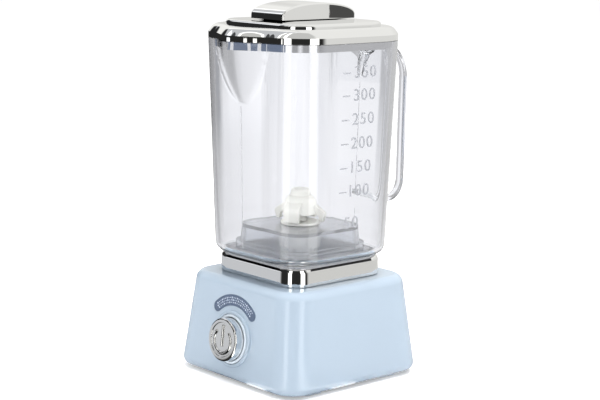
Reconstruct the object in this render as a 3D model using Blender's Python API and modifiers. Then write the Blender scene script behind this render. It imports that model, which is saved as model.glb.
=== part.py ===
"""Toy blender: tapered battery base, clear jug with handle and spout, stepped chrome lid.

The drive shaft stands on the Z axis of the "toy" empty, the button faces -Y and
the jug's handle is on +Y. Lengths are in metres.
"""

import math

import bmesh
import bpy
from mathutils import Matrix, Vector

# Gaps between pieces
REST_GAP = 0.0003
FIT_GAP = 0.0001
RUNNING_GAP = 0.00008
SLIDE_GAP = 0.00035
OVERRUN = 0.001
UNION_LAP = 0.0008

# Base housing
BASE_HALF = 0.0435
BASE_TAPER = 0.00475
BASE_TOP_HALF = BASE_HALF - BASE_TAPER
BASE_TOP_Z = 0.0485
BASE_LIP_Z = 0.0018
BASE_CORNER = 0.0131
BASE_TOP_CORNER = 0.0125
BASE_BOTTOM_FILLET = 0.0035
BASE_TOP_FILLET = 0.0043
BASE_WALL = 0.002
LIP_END_DEG = -65.0

# Base plate and feet
PLATE_THICK = 0.002
PLATE_Z = 0.0015
PLATE_GAP = 0.0004
FOOT_X_IN = 0.0073
FOOT_Y_IN = 0.0195
FOOT_X = BASE_HALF - FOOT_X_IN
FOOT_Y = BASE_HALF - FOOT_Y_IN
FOOT_HALF_X = 0.0025
FOOT_HALF_Y = 0.0052
FOOT_SINK = 0.0009
FOOT_BEVEL = 0.0005
FOOT_ROUND_SHARE = 0.8
SCREW_HEAD_R = 0.0021
SCREW_HEAD_H = 0.0011
SCREW_SHANK_R = 0.0010
SCREW_LENGTH = 0.0085
PILLAR_R = 0.0032
FRONT_PILLAR_X_IN = 0.0135
FRONT_PILLAR_Y_IN = 0.0117
SIDE_PILLAR_X_IN = 0.0085
FRONT_PILLAR_X = BASE_HALF - FRONT_PILLAR_X_IN
FRONT_PILLAR_Y = FRONT_PILLAR_Y_IN - BASE_HALF
SIDE_PILLAR_X = BASE_HALF - SIDE_PILLAR_X_IN
SIDE_PILLAR_Y = 0.0020

# Jug collar on the housing
COLLAR_IN = 0.00895
COLLAR_HALF = BASE_TOP_HALF - COLLAR_IN
COLLAR_CORNER = 0.0103
COLLAR_HEIGHT = 0.0098
COLLAR_TOP_Z = BASE_TOP_Z + COLLAR_HEIGHT
COLLAR_TOP_FILLET = 0.0016
COLLAR_PEG_R = 0.0008
COLLAR_PEG_LENGTH = 0.0030

# Jug
JUG_LIFT_GAP = 0.0004
JUG_HEIGHT = 0.1020
JUG_OVERHANG = 0.0057
JUG_FLARE = 0.0029
RIM_LAND = 0.0012
JUG_BOTTOM_Z = COLLAR_TOP_Z + JUG_LIFT_GAP
JUG_RIM_Z = JUG_BOTTOM_Z + JUG_HEIGHT
JUG_FOOT_HALF = COLLAR_HALF + JUG_OVERHANG
JUG_RIM_HALF = JUG_FOOT_HALF + JUG_FLARE
JUG_CORNER = 0.0230
JUG_FOOT_FILLET = 0.0045
JUG_WALL = 0.0020
SPOUT_DEPTH = 0.0287
SPOUT_FOOT_Z = JUG_RIM_Z - SPOUT_DEPTH
SPOUT_HALF_WIDTH = 0.0180
SPOUT_REACH = 0.0078
SPOUT_ROUND_SHARE = 0.6
NECK_IN = 0.0023
NECK_HALF = COLLAR_HALF - NECK_IN
NECK_WALL = 0.0018
LEDGE_IN = 0.0025
LEDGE_HALF = NECK_HALF - LEDGE_IN
PLATFORM_IN = 0.0026
PLATFORM_HALF = LEDGE_HALF - PLATFORM_IN
PLATFORM_CORNER = 0.0100
PLATFORM_RISE = 0.0133
PLATFORM_TOP_Z = JUG_BOTTOM_Z + PLATFORM_RISE
PLATFORM_DRAFT = 0.0006
LEDGE_RISE = 0.0051
LEDGE_Z = JUG_BOTTOM_Z + LEDGE_RISE

# Jug handle
HANDLE_REACH = 0.0305
HANDLE_OUT_Y = JUG_RIM_HALF + HANDLE_REACH
HANDLE_HALF_WIDTH = 0.0021
HANDLE_THICK = 0.0026
HANDLE_EDGE = 0.0008
HANDLE_DROP = 0.0025
HANDLE_TOP_Z = JUG_RIM_Z - HANDLE_DROP
HANDLE_TOP_BEND = 0.0190
HANDLE_DRAFT = 0.0006
HANDLE_SPAN = 0.0819
HANDLE_LOW_Z = HANDLE_TOP_Z - HANDLE_SPAN
HANDLE_LOW_BEND = 0.0095
HANDLE_ROOT_RISE = 0.0079
HANDLE_ROOT_Z = HANDLE_LOW_Z + HANDLE_ROOT_RISE
HANDLE_LOW_TURN_DEG = 105.0
GUSSET_HALF_WIDTH = 0.0115
GUSSET_WEB_HALF = 0.0021
GUSSET_WING_DROP = 0.0047
GUSSET_NECK_DROP = 0.0104
GUSSET_FOOT_DROP = 0.0197
GUSSET_WING_Z = HANDLE_TOP_Z - GUSSET_WING_DROP
GUSSET_NECK_Z = HANDLE_TOP_Z - GUSSET_NECK_DROP
GUSSET_FOOT_Z = HANDLE_TOP_Z - GUSSET_FOOT_DROP
GUSSET_LENGTH = 0.0120
GUSSET_SINK_SHARE = 0.6

# Lid
LID_GAP_Z = 0.0003
LID_BAND = 0.0034
LID_SHOULDER_RISE = 0.0030
LID_SHOULDER_Z = JUG_RIM_Z + LID_GAP_Z + LID_BAND + LID_SHOULDER_RISE
LID_SHOULDER_IN = 0.0062
LID_TIER_IN = 0.0084
LID_TIER_HALF = JUG_RIM_HALF - LID_TIER_IN
LID_TIER_CORNER = 0.0140
LID_TIER_RISE = 0.0020
LID_TIER_Z = LID_SHOULDER_Z + LID_TIER_RISE
LID_TIER_FILLET = 0.0012
LID_CROWN = 0.0006
LID_WALL = 0.0016
SKIRT_DEPTH = 0.0034
SKIRT_BOTTOM_Z = JUG_RIM_Z - SKIRT_DEPTH
SKIRT_WALL = 0.0014
SKIRT_GAP = 0.0007
GRIP_END_IN = 0.00715
GRIP_HALF_LENGTH = LID_TIER_HALF - GRIP_END_IN
GRIP_HALF_WIDTH = 0.0115
GRIP_HEIGHT = 0.0076
GRIP_END_H = 0.0016
GRIP_BEVEL = 0.0006
GRIP_WALL = 0.0016
GRIP_POST_R = 0.0024
GRIP_POST_Y = 0.0100
GRIP_SCREW_LENGTH = 0.0060
GRIP_ROUND_SHARE = 0.85
SKIRT_TOP_SHARE = 0.55

# Gears, shaft and couplings
MODULE = 0.0006
GEAR_TEETH = 50
PINION_TEETH = 10
PINION_SHIFT_SHARE = 0.41
TIP_SHARE = 1.0
ROOT_SHARE = 1.25
TIP_TRIM_SHARE = 0.12
ROOT_STEP_SHARE = 0.2
PRESSURE_DEG = 20.0
BACKLASH = 0.00012
GEAR_Z = 0.0315
GEAR_THICK = 0.0050
GEAR_HUB_R = 0.0045
GEAR_HUB_H = 0.0016
GEAR_HOLE_R = 0.0027
GEAR_HOLES = 5
PINION_Z = 0.0310
PINION_LENGTH = 0.0060
SHAFT_R = 0.0020
SHAFT_BOTTOM_Z = 0.0262
SHAFT_RISE = 0.0135
SHAFT_TOP_Z = BASE_TOP_Z + SHAFT_RISE
BUSH_R = 0.0040
BUSH_FLANGE_R = 0.0058
BUSH_FLANGE_H = 0.0008
UPPER_BUSH_DEPTH = 0.0050
BUSH_BOSS_R = 0.0065
BUSH_BOSS_DEPTH = 0.0045
DOG_MEAN_R = 0.0056
DOG_LOBE = 0.0008
DOG_LOBES = 6
DOG_RISE = 0.0177
DOG_TOP_Z = BASE_TOP_Z + DOG_RISE
DOG_FLANGE_R = 0.0085
DOG_FLANGE_H = 0.0014

# Gear deck and motor
DECK_Z = 0.0280
DECK_THICK = 0.0020
DECK_LEFT = -0.0315
DECK_RIGHT = 0.0240
DECK_FRONT = -0.0220
DECK_BACK = 0.0240
DECK_CORNER = 0.0040
POST_R = 0.0030
POST_PLACES = ((0.0205, -0.0060), (-0.0020, 0.0207), (-0.0275, -0.0120))
MOTOR_R = 0.0100
MOTOR_FLAT = 0.0076
MOTOR_LENGTH = 0.0200
MOTOR_CAP_LENGTH = 0.0032
MOTOR_NOSE_R = 0.0030
MOTOR_NOSE_H = 0.0012
MOTOR_CUP_WALL = 0.0012
MOTOR_CUP_DEPTH = 0.0050
MOTOR_EDGE = 0.0006
MOTOR_CAP_KNOB = 0.0005
MOTOR_SHAFT_R = 0.0010
MOTOR_SHAFT_DEPTH = 0.0080
MOTOR_ANGLE_DEG = 225.0
TAB_WIDTH = 0.0024
TAB_THICK = 0.0004
TAB_LENGTH = 0.0030
TAB_Y = 0.0022

# Batteries and their box
CELL_R = 0.0071
CELL_LENGTH = 0.0490
CELL_NUB_R = 0.0027
CELL_NUB_H = 0.0012
CELL_EDGE = 0.0006
CELL_FRONT_Y = 0.0090
CELL_PITCH = 0.0150
CELL_SIDE_GAP = 0.0004
CELL_RISE = 0.0005
BOX_WALL = 0.0015
BOX_END_ROOM = 0.0036
BOX_FLANGE = 0.0025
BOX_FLANGE_HALF_X = 0.0260
BOX_EAR_Y = 0.0115
BOX_EAR_R = 0.0030
BOX_EAR_H = 0.0090
DOOR_RIB_H = 0.0005
DOOR_RIB_W = 0.0012
DOOR_RIB_COUNT = 5
DOOR_RIB_HALF = 0.0080
CONTACT_THICK = 0.0004
CONTACT_HALF_W = 0.0050
CONTACT_HALF_H = 0.0050
SPRING_WIRE_R = 0.00025
SPRING_R = 0.0032
SPRING_TURNS = 2
SPRING_TIP_SHARE = 0.7

# Button, in the frame of its own axis: +Z points out of the sloping front
BUTTON_Z = 0.0213
BUTTON_R = 0.0102
BUTTON_OUT = 0.0047
BUTTON_TRAVEL = 0.0020
BUTTON_BEVEL = 0.0009
BUTTON_WALL = 0.0014
BUTTON_FLANGE_R = 0.0114
BUTTON_FLANGE_H = 0.0010
BUTTON_DISH = 0.0003
STEM_R = 0.0022
BEZEL_R = 0.0116
BEZEL_PROUD = 0.0004
BEZEL_ROUND = 0.0003
BOSS_R = 0.0134
BOSS_H = 0.0012
BOSS_ROUND = 0.0008
SWITCH_HALF = 0.0040
SWITCH_DEPTH = 0.0058
SWITCH_FROM_WALL = 0.0066
PLUNGER_R = 0.0012
PLUNGER_OUT = 0.0026
PLUNGER_IN = 0.0024
BOARD_HALF_X = 0.0165
BOARD_HALF_V = 0.0095
BOARD_THICK = 0.0016
BOARD_POST_R = 0.0020
BOARD_POST_X = 0.0140
BOARD_SCREW_LENGTH = 0.0065
SWITCH_EDGE = 0.0004

# Badge over the button
BADGE_MID_R = 0.0183
BADGE_HALF_BAND = 0.0026
BADGE_HALF_SPAN_DEG = 40.0
BADGE_THICK = 0.0008
BADGE_SINK = 0.0006

# Blade rotor, its shaft, seal and socket
SOCKET_R = 0.0094
SOCKET_HEIGHT = 0.0085
SOCKET_FLOOR_Z = PLATFORM_TOP_Z - JUG_WALL - REST_GAP - SOCKET_HEIGHT
SOCKET_WEB = 0.0030
SEAL_FLANGE_R = 0.0098
SEAL_FLANGE_H = 0.0011
SEAL_BODY_R = 0.0047
BLADE_SHAFT_R = 0.0015
ROTOR_HEIGHT = 0.0155
ROTOR_LOW_Z = PLATFORM_TOP_Z + REST_GAP + SEAL_FLANGE_H + REST_GAP
ROTOR_TOP_Z = ROTOR_LOW_Z + ROTOR_HEIGHT
ROTOR_CAP_R = 0.0049
ROTOR_BELL_R = 0.0086
ROTOR_BELL_DROP = 0.0120
ROTOR_SHOULDER_DROP = 0.0042
ROTOR_BELL_Z = ROTOR_TOP_Z - ROTOR_BELL_DROP
ROTOR_SHOULDER_Z = ROTOR_TOP_Z - ROTOR_SHOULDER_DROP
ROTOR_COLUMN_R = 0.0034
ROTOR_EDGE = 0.0007
ROTOR_BORE_DEPTH = 0.0110
LEG_OUT_R = 0.0109
LEG_WIDTH = 0.0083
LEG_THICK = 0.0017
LEG_TOP_RISE = 0.0018
LEG_TOP_Z = ROTOR_BELL_Z + LEG_TOP_RISE
FIN_OUT_R = 0.0139
FIN_WIDTH = 0.0030
FIN_TOP_RISE = 0.0006
FIN_TOP_Z = ROTOR_BELL_Z + FIN_TOP_RISE
FIN_TOE = 0.0034
BLADE_TURN_DEG = 23.0

# How finely round shapes are divided
CORNER_STEPS = 4
FRONT_STEPS = 8
SMALL_CORNER_STEPS = 4
ROUND_STEPS = 24
SMALL_ROUND_STEPS = 12
SCREW_STEPS = 8
FLANK_STEPS = 1
FILLET_STEPS = 3
SHOULDER_STEPS = 3
SPOUT_STEPS = 5
HANDLE_STEPS = 6
GUSSET_STEPS = 3
GRIP_STEPS = 12
BELL_STEPS = 4
CAN_STEPS = 6
BADGE_ARC_STEPS = 10
BADGE_END_STEPS = 6
SPRING_TURN_POINTS = 6

PIECES = "toy_blender"
CUTTERS = "cutters"


def clear_scene():
    for old in list(bpy.data.objects):
        bpy.data.objects.remove(old, do_unlink=True)
    for name in (PIECES, CUTTERS):
        group = bpy.data.collections.new(name)
        bpy.context.scene.collection.children.link(group)


def material(name, colour, roughness, metallic=0.0, clear=0.0):
    finish = bpy.data.materials.new(name)
    finish.use_nodes = True
    shader = finish.node_tree.nodes["Principled BSDF"]
    shader.inputs["Base Color"].default_value = (*colour, 1.0)
    shader.inputs["Roughness"].default_value = roughness
    shader.inputs["Metallic"].default_value = metallic
    shader.inputs["Transmission Weight"].default_value = clear
    finish.diffuse_color = (*colour, 1.0)
    return finish


FINISHES = {
    "blue": ((0.58, 0.74, 0.90), 0.25, 0.0, 0.0),
    "chrome": ((0.86, 0.86, 0.85), 0.06, 1.0, 0.0),
    "clear": ((0.96, 0.97, 0.99), 0.03, 0.0, 1.0),
    "ivory": ((0.86, 0.86, 0.78), 0.35, 0.0, 0.2),
    "slate": ((0.13, 0.19, 0.30), 0.40, 0.0, 0.0),
    "rubber": ((0.80, 0.84, 0.88), 0.75, 0.0, 0.0),
    "steel": ((0.62, 0.62, 0.62), 0.30, 1.0, 0.0),
    "brass": ((0.80, 0.62, 0.30), 0.30, 1.0, 0.0),
    "white": ((0.88, 0.88, 0.86), 0.40, 0.0, 0.0),
    "black": ((0.03, 0.03, 0.03), 0.45, 0.0, 0.0),
    "board": ((0.05, 0.25, 0.12), 0.45, 0.0, 0.0),
    "cell": ((0.10, 0.12, 0.16), 0.35, 0.3, 0.0),
}


def add_object(name, mesh, finish, parent, place=(0, 0, 0), turn=None):
    """A named piece with its own material, parented and placed."""
    piece = bpy.data.objects.new(name, mesh)
    colour, roughness, metallic, clear = FINISHES[finish]
    mesh.materials.clear()
    mesh.materials.append(material(f"{name}_{finish}", colour, roughness, metallic, clear))
    bpy.data.collections[PIECES].objects.link(piece)
    piece.parent = parent
    piece.location = place
    if turn is not None:
        piece.rotation_euler = turn
    return piece


def add_tool(name, mesh, parent, place=(0, 0, 0), turn=None):
    """A shape that cuts or joins a piece, and isn't a piece itself."""
    tool = bpy.data.objects.new(name, mesh)
    bpy.data.collections[CUTTERS].objects.link(tool)
    tool.hide_render = True
    tool.display_type = "WIRE"
    tool.parent = parent
    tool.location = place
    if turn is not None:
        tool.rotation_euler = turn
    return tool


def add_empty(name, parent, place=(0, 0, 0), turn=None):
    empty = bpy.data.objects.new(name, None)
    bpy.data.collections[PIECES].objects.link(empty)
    empty.parent = parent
    empty.location = place
    if turn is not None:
        empty.rotation_euler = turn
    return empty


def combine(piece, tool, operation):
    step = piece.modifiers.new(f"{operation.lower()}_{tool.name}", "BOOLEAN")
    step.operation = operation
    step.solver = "EXACT"
    step.object = tool


def cut(piece, tool):
    combine(piece, tool, "DIFFERENCE")


def join(piece, tool):
    combine(piece, tool, "UNION")


def bevel(piece, width, segments=2, angle_deg=50.0):
    step = piece.modifiers.new("rounded_edges", "BEVEL")
    step.width = width
    step.segments = segments
    step.limit_method = "ANGLE"
    step.angle_limit = math.radians(angle_deg)
    step.use_clamp_overlap = True


def solidify(piece, thickness):
    step = piece.modifiers.new("wall", "SOLIDIFY")
    step.thickness = thickness
    step.offset = -1.0
    step.use_even_offset = True
    step.use_rim = True


def smooth(mesh, angle_deg=40.0):
    mesh.shade_smooth()
    mesh.set_sharp_from_angle(angle=math.radians(angle_deg))


def box_mesh(name, low, high):
    """A box between two corners."""
    shape = bmesh.new()
    size = Vector(high) - Vector(low)
    middle = (Vector(high) + Vector(low)) / 2
    grow = Matrix.Translation(middle) @ Matrix.Diagonal((*size, 1.0))
    bmesh.ops.create_cube(shape, size=1.0, matrix=grow)
    return finish_mesh(name, shape)


def cylinder_mesh(name, radius, low_z, high_z, steps=ROUND_STEPS, top_radius=None):
    shape = bmesh.new()
    upper = radius if top_radius is None else top_radius
    bmesh.ops.create_cone(
        shape, cap_ends=True, segments=steps, radius1=radius, radius2=upper,
        depth=high_z - low_z, matrix=Matrix.Translation((0, 0, (low_z + high_z) / 2)))
    return finish_mesh(name, shape)


def finish_mesh(name, shape, smooth_deg=40.0):
    mesh = bpy.data.meshes.new(name)
    shape.to_mesh(mesh)
    shape.free()
    smooth(mesh, smooth_deg)
    return mesh


def mesh_of(holder):
    """The evaluated mesh of a curve or a modified object, welded, in place of the object."""
    bpy.context.view_layer.update()
    graph = bpy.context.evaluated_depsgraph_get()
    mesh = bpy.data.meshes.new_from_object(holder.evaluated_get(graph))
    shape = bmesh.new()
    shape.from_mesh(mesh)
    bmesh.ops.remove_doubles(shape, verts=shape.verts, dist=1e-6)
    bmesh.ops.recalc_face_normals(shape, faces=shape.faces)
    shape.to_mesh(mesh)
    shape.free()
    bpy.data.objects.remove(holder, do_unlink=True)
    smooth(mesh)
    return mesh


def plate_mesh(name, outlines, low_z, high_z):
    """Flat outlines, the first one outside and the others holes, given a thickness."""
    curve = bpy.data.curves.new(name, "CURVE")
    curve.dimensions = "2D"
    curve.fill_mode = "BOTH"
    curve.extrude = (high_z - low_z) / 2
    for outline in outlines:
        spline = curve.splines.new("POLY")
        spline.points.add(len(outline) - 1)
        spline.use_cyclic_u = True
        for point, (x, y) in zip(spline.points, outline):
            point.co = (x, y, 0, 1)
    holder = bpy.data.objects.new(name, curve)
    bpy.context.scene.collection.objects.link(holder)
    mesh = mesh_of(holder)
    mesh.transform(Matrix.Translation((0, 0, (low_z + high_z) / 2)))
    return mesh


def turned_mesh(name, profile, steps=ROUND_STEPS):
    """A profile of (radius, z) points, from its top down the outer side, turned about Z."""
    shape = bmesh.new()
    verts = [shape.verts.new((r, 0, z)) for r, z in profile]
    for upper, lower in zip(verts, verts[1:]):
        shape.edges.new((upper, lower))
    if profile[0][0] > 0:
        shape.edges.new((verts[-1], verts[0]))
    mesh = bpy.data.meshes.new(name)
    shape.to_mesh(mesh)
    shape.free()
    holder = bpy.data.objects.new(name, mesh)
    bpy.context.scene.collection.objects.link(holder)
    lathe = holder.modifiers.new("lathe", "SCREW")
    lathe.axis = "Z"
    lathe.angle = math.tau
    lathe.steps = steps
    lathe.render_steps = steps
    lathe.use_merge_vertices = True
    lathe.merge_threshold = 1e-6
    return mesh_of(holder)


def circle(radius, steps=ROUND_STEPS, centre=(0.0, 0.0), phase=0.0):
    return [(centre[0] + radius * math.cos(phase + math.tau * i / steps),
             centre[1] + radius * math.sin(phase + math.tau * i / steps))
            for i in range(steps)]


def rounded_box(half_x, half_y, radius, corner_steps=SMALL_CORNER_STEPS, front_steps=1,
                centre=(0.0, 0.0)):
    """A rectangle with round corners, anticlockwise from the front left corner's end."""
    points = []
    left, right = -(half_x - radius), half_x - radius
    for i in range(front_steps):
        points.append((left + (right - left) * i / front_steps, -half_y))
    corners = ((1, -1, -90), (1, 1, 0), (-1, 1, 90), (-1, -1, 180))
    for sign_x, sign_y, start in corners:
        for i in range(corner_steps + 1):
            angle = math.radians(start + 90 * i / corner_steps)
            if sign_x < 0 and sign_y < 0 and i == corner_steps:
                continue
            points.append((sign_x * (half_x - radius) + radius * math.cos(angle),
                           sign_y * (half_y - radius) + radius * math.sin(angle)))
    return [(x + centre[0], y + centre[1]) for x, y in points]


def ring(half, radius, z, spout=None, front_steps=FRONT_STEPS):
    """One level of a rounded square shell; spout is its half width and its reach."""
    points = rounded_box(half, half, radius, CORNER_STEPS, front_steps)
    if spout is not None:
        width, reach = spout
        points = [(x, y - (bulge(x, width, reach) if y < 0 else 0)) for x, y in points]
    return [Vector((x, y, z)) for x, y in points]


def round_ring(radius, z, front_steps=FRONT_STEPS):
    """A circle with as many points as a ring, each at the angle of the ring's point."""
    square = rounded_box(radius, radius, radius * 0.5, CORNER_STEPS, front_steps)
    return [Vector((x, y, 0)).normalized() * radius + Vector((0, 0, z)) for x, y in square]


def bulge(x, width, reach):
    if abs(x) >= width:
        return 0
    return reach * (1 + math.cos(math.pi * x / width)) / 2


def loft_mesh(name, rings, closed=False, capped=False):
    """Skins rings of equal length, in order from the top down the outer side."""
    shape = bmesh.new()
    levels = [[shape.verts.new(point) for point in level] for level in rings]
    pairs = list(zip(levels, levels[1:]))
    if closed:
        pairs.append((levels[-1], levels[0]))
    for upper, lower in pairs:
        for i in range(len(upper)):
            j = (i + 1) % len(upper)
            shape.faces.new((upper[i], lower[i], lower[j], upper[j]))
    if capped:
        shape.faces.new(levels[0])
        shape.faces.new(reversed(levels[-1]))
    if closed or capped:
        bmesh.ops.recalc_face_normals(shape, faces=shape.faces)
    return finish_mesh(name, shape)


def arc(centre, radius, start_deg, end_deg, steps):
    """(half width, z) points on an arc of a wall's section."""
    points = []
    for i in range(steps + 1):
        angle = math.radians(start_deg + (end_deg - start_deg) * i / steps)
        points.append((centre[0] + radius * math.cos(angle),
                       centre[1] + radius * math.sin(angle)))
    return points


# Section of the housing's wall, worked out once for all that fits it
LIP_CENTRE_Z = BASE_LIP_Z - BASE_BOTTOM_FILLET * math.sin(math.radians(LIP_END_DEG))
FACE_SLOPE = math.atan((BASE_HALF - BASE_TOP_HALF) / (BASE_TOP_Z - LIP_CENTRE_Z))
SLOPE_DEG = math.degrees(FACE_SLOPE)


def base_half(z):
    """Half width of the housing's sloping face at a height."""
    edge = BASE_HALF - BASE_BOTTOM_FILLET + BASE_BOTTOM_FILLET / math.cos(FACE_SLOPE)
    return edge - math.tan(FACE_SLOPE) * (z - LIP_CENTRE_Z)


def base_corner(z):
    share = (z - LIP_CENTRE_Z) / (BASE_TOP_Z - LIP_CENTRE_Z)
    return BASE_CORNER + (BASE_TOP_CORNER - BASE_CORNER) * share


def base_ring(half, z):
    """A level of the housing, its corner drawn in with its half width at a fillet."""
    return ring(half, max(base_corner(z) - (base_half(z) - half), BASE_WALL), z,
                front_steps=1)


def jug_half(z):
    """Half width of the jug's outer wall at a height."""
    share = (z - JUG_BOTTOM_Z) / (JUG_RIM_Z - JUG_BOTTOM_Z)
    return JUG_FOOT_HALF + (JUG_RIM_HALF - JUG_FOOT_HALF) * share


def spout_at(z):
    """Half width and reach of the spout at a height, up to the rim."""
    share = (min(z, JUG_RIM_Z) - SPOUT_FOOT_Z) / (JUG_RIM_Z - SPOUT_FOOT_Z)
    if share <= 0:
        return None
    width = SPOUT_HALF_WIDTH * math.sin(math.pi / 2 * share) ** SPOUT_ROUND_SHARE
    return width, SPOUT_REACH * share


BUTTON_FACE_Y = -base_half(BUTTON_Z)
BEZEL_TOP = BOSS_H + BEZEL_PROUD
BUTTON_FRONT = BEZEL_TOP + BUTTON_OUT
FRONT_REACH = -BUTTON_FACE_Y + BUTTON_FRONT * math.cos(FACE_SLOPE) + BUTTON_R * math.sin(FACE_SLOPE)
BODY_SHIFT_Y = (FRONT_REACH - HANDLE_OUT_Y) / 2
GEAR_DISTANCE = MODULE * (GEAR_TEETH + PINION_TEETH) / 2
MOTOR_X = GEAR_DISTANCE * math.cos(math.radians(MOTOR_ANGLE_DEG))
MOTOR_Y = GEAR_DISTANCE * math.sin(math.radians(MOTOR_ANGLE_DEG))
PLATE_TOP_Z = PLATE_Z + PLATE_THICK
PLATE_HALF = (BASE_HALF - BASE_BOTTOM_FILLET - PLATE_GAP
              + (BASE_BOTTOM_FILLET - BASE_WALL) * math.cos(math.radians(LIP_END_DEG)))
PLATE_CORNER = BASE_CORNER - (BASE_HALF - PLATE_HALF)
WALL_INSIDE_Z = BASE_TOP_Z - BASE_WALL
DECK_TOP_Z = DECK_Z + DECK_THICK
SWITCH_FRONT = -BASE_WALL - SWITCH_FROM_WALL
SWITCH_BACK = SWITCH_FRONT - SWITCH_DEPTH
BOARD_FRONT = SWITCH_BACK - REST_GAP
BOARD_BACK = BOARD_FRONT - BOARD_THICK
STEM_END = SWITCH_FRONT + PLUNGER_OUT + REST_GAP
CELL_Z = PLATE_TOP_Z + CELL_RISE + CELL_R
CELL_REAR_Y = CELL_FRONT_Y + CELL_PITCH
BOX_FRONT_Y = CELL_FRONT_Y - CELL_R - CELL_SIDE_GAP - BOX_WALL
BOX_BACK_Y = CELL_REAR_Y + CELL_R + CELL_SIDE_GAP + BOX_WALL
BOX_OUT_X = (CELL_LENGTH + CELL_NUB_H) / 2 + BOX_END_ROOM + BOX_WALL
BOX_EAR_X = BOX_OUT_X + BOX_EAR_R - UNION_LAP
BOX_TOP_Z = CELL_Z + CELL_R + CELL_SIDE_GAP + BOX_WALL
LID_UNDER_Z = LID_TIER_Z - LID_WALL
GRIP_BASE_Z = LID_TIER_Z + LID_CROWN + REST_GAP
GRIP_TOP_Z = GRIP_BASE_Z + GRIP_HEIGHT


def screw_mesh(name, length):
    """A pan-head screw, head down at z = 0."""
    head = SCREW_HEAD_H
    profile = [(0, length), (SCREW_SHANK_R, length - SCREW_SHANK_R), (SCREW_SHANK_R, head),
               (SCREW_HEAD_R, head), (SCREW_HEAD_R, head * 0.4), (SCREW_HEAD_R * 0.8, 0), (0, 0)]
    return turned_mesh(name, profile, SCREW_STEPS)


def add_screws(name, length, parent, places):
    """A numbered screw at each place, head down at the place's height."""
    mesh = screw_mesh(name, length)
    for i, place in enumerate(places):
        add_object(f"{name}_{i + 1}", mesh.copy(), "steel", parent, place)


def pillar_places():
    return [(side * FRONT_PILLAR_X, FRONT_PILLAR_Y) for side in (-1, 1)] + \
           [(side * SIDE_PILLAR_X, SIDE_PILLAR_Y) for side in (-1, 1)]


def button_frame(root):
    """Empty on the button's axis, +Z out of the sloping front face."""
    return add_empty("button_axis", root, (0, BUTTON_FACE_Y, BUTTON_Z),
                     (math.pi / 2 - FACE_SLOPE, 0, 0))


def badge_outline(margin=0.0):
    """A band along an arc over the button, with round ends."""
    half_band = BADGE_HALF_BAND + margin
    half_span = math.radians(BADGE_HALF_SPAN_DEG)
    points = []
    for i in range(BADGE_ARC_STEPS + 1):
        angle = math.pi / 2 + half_span - 2 * half_span * i / BADGE_ARC_STEPS
        radius = BADGE_MID_R + half_band
        points.append((radius * math.cos(angle), radius * math.sin(angle)))
    points += badge_end(math.pi / 2 - half_span, half_band, 1)
    for i in range(BADGE_ARC_STEPS + 1):
        angle = math.pi / 2 - half_span + 2 * half_span * i / BADGE_ARC_STEPS
        radius = BADGE_MID_R - half_band
        points.append((radius * math.cos(angle), radius * math.sin(angle)))
    points += badge_end(math.pi / 2 + half_span, half_band, -1)
    return points


def badge_end(angle, half_band, side):
    """The inner points of a round end, from one edge of the band to the other."""
    centre = (BADGE_MID_R * math.cos(angle), BADGE_MID_R * math.sin(angle))
    start = angle if side > 0 else angle + math.pi
    return [(centre[0] + half_band * math.cos(start - math.pi * i / BADGE_END_STEPS),
             centre[1] + half_band * math.sin(start - math.pi * i / BADGE_END_STEPS))
            for i in range(1, BADGE_END_STEPS)]


def housing_rings():
    """The outer skin of the housing, from the shaft hole over the top to the lower lip."""
    top_centre_z = BASE_TOP_Z - BASE_TOP_FILLET
    top_centre = (base_half(top_centre_z) - BASE_TOP_FILLET / math.cos(FACE_SLOPE), top_centre_z)
    low_centre = (BASE_HALF - BASE_BOTTOM_FILLET, LIP_CENTRE_Z)
    section = arc(top_centre, BASE_TOP_FILLET, 90, SLOPE_DEG, FILLET_STEPS)
    section += arc(low_centre, BASE_BOTTOM_FILLET, SLOPE_DEG, LIP_END_DEG, FILLET_STEPS)
    return [round_ring(BUSH_R / 2, BASE_TOP_Z, 1)] + [base_ring(half, z) for half, z in section]


def make_housing(root, button_axis):
    housing = add_object("base_housing", loft_mesh("base_housing", housing_rings()), "blue", root)
    solidify(housing, BASE_WALL)
    pillar = cylinder_mesh("pillar", PILLAR_R, PLATE_TOP_Z + REST_GAP,
                           WALL_INSIDE_Z + UNION_LAP, SMALL_ROUND_STEPS)
    for i, (x, y) in enumerate(pillar_places()):
        join(housing, add_tool(f"pillar_{i + 1}", pillar, root, (x, y, 0)))
    post = cylinder_mesh("deck_post", POST_R, DECK_TOP_Z + REST_GAP,
                         WALL_INSIDE_Z + UNION_LAP, SMALL_ROUND_STEPS)
    for i, (x, y) in enumerate(POST_PLACES):
        join(housing, add_tool(f"deck_post_{i + 1}", post, root, (x, y, 0)))
    boss = cylinder_mesh("bush_boss", BUSH_BOSS_R, WALL_INSIDE_Z - BUSH_BOSS_DEPTH,
                         WALL_INSIDE_Z + UNION_LAP, SMALL_ROUND_STEPS)
    join(housing, add_tool("bush_boss", boss, root))
    join(housing, add_tool("button_boss", button_boss_mesh(), button_axis))
    board_post = cylinder_mesh("board_post", BOARD_POST_R, BOARD_FRONT + REST_GAP,
                               -BASE_WALL + UNION_LAP, SMALL_ROUND_STEPS)
    for side in (-1, 1):
        join(housing, add_tool(f"board_post_{side}", board_post, button_axis,
                               (side * BOARD_POST_X, 0, 0)))
    cut_housing(housing, root, button_axis)


def button_boss_mesh():
    """The raised ring that the button works in, still solid in the middle."""
    profile = [(0, BOSS_H)] + arc((BOSS_R - BOSS_ROUND, BOSS_H - BOSS_ROUND), BOSS_ROUND,
                                  90, 0, SMALL_CORNER_STEPS)
    profile += [(BOSS_R, -BASE_WALL / 2), (0, -BASE_WALL / 2)]
    return turned_mesh("button_boss", profile, ROUND_STEPS)


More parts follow.
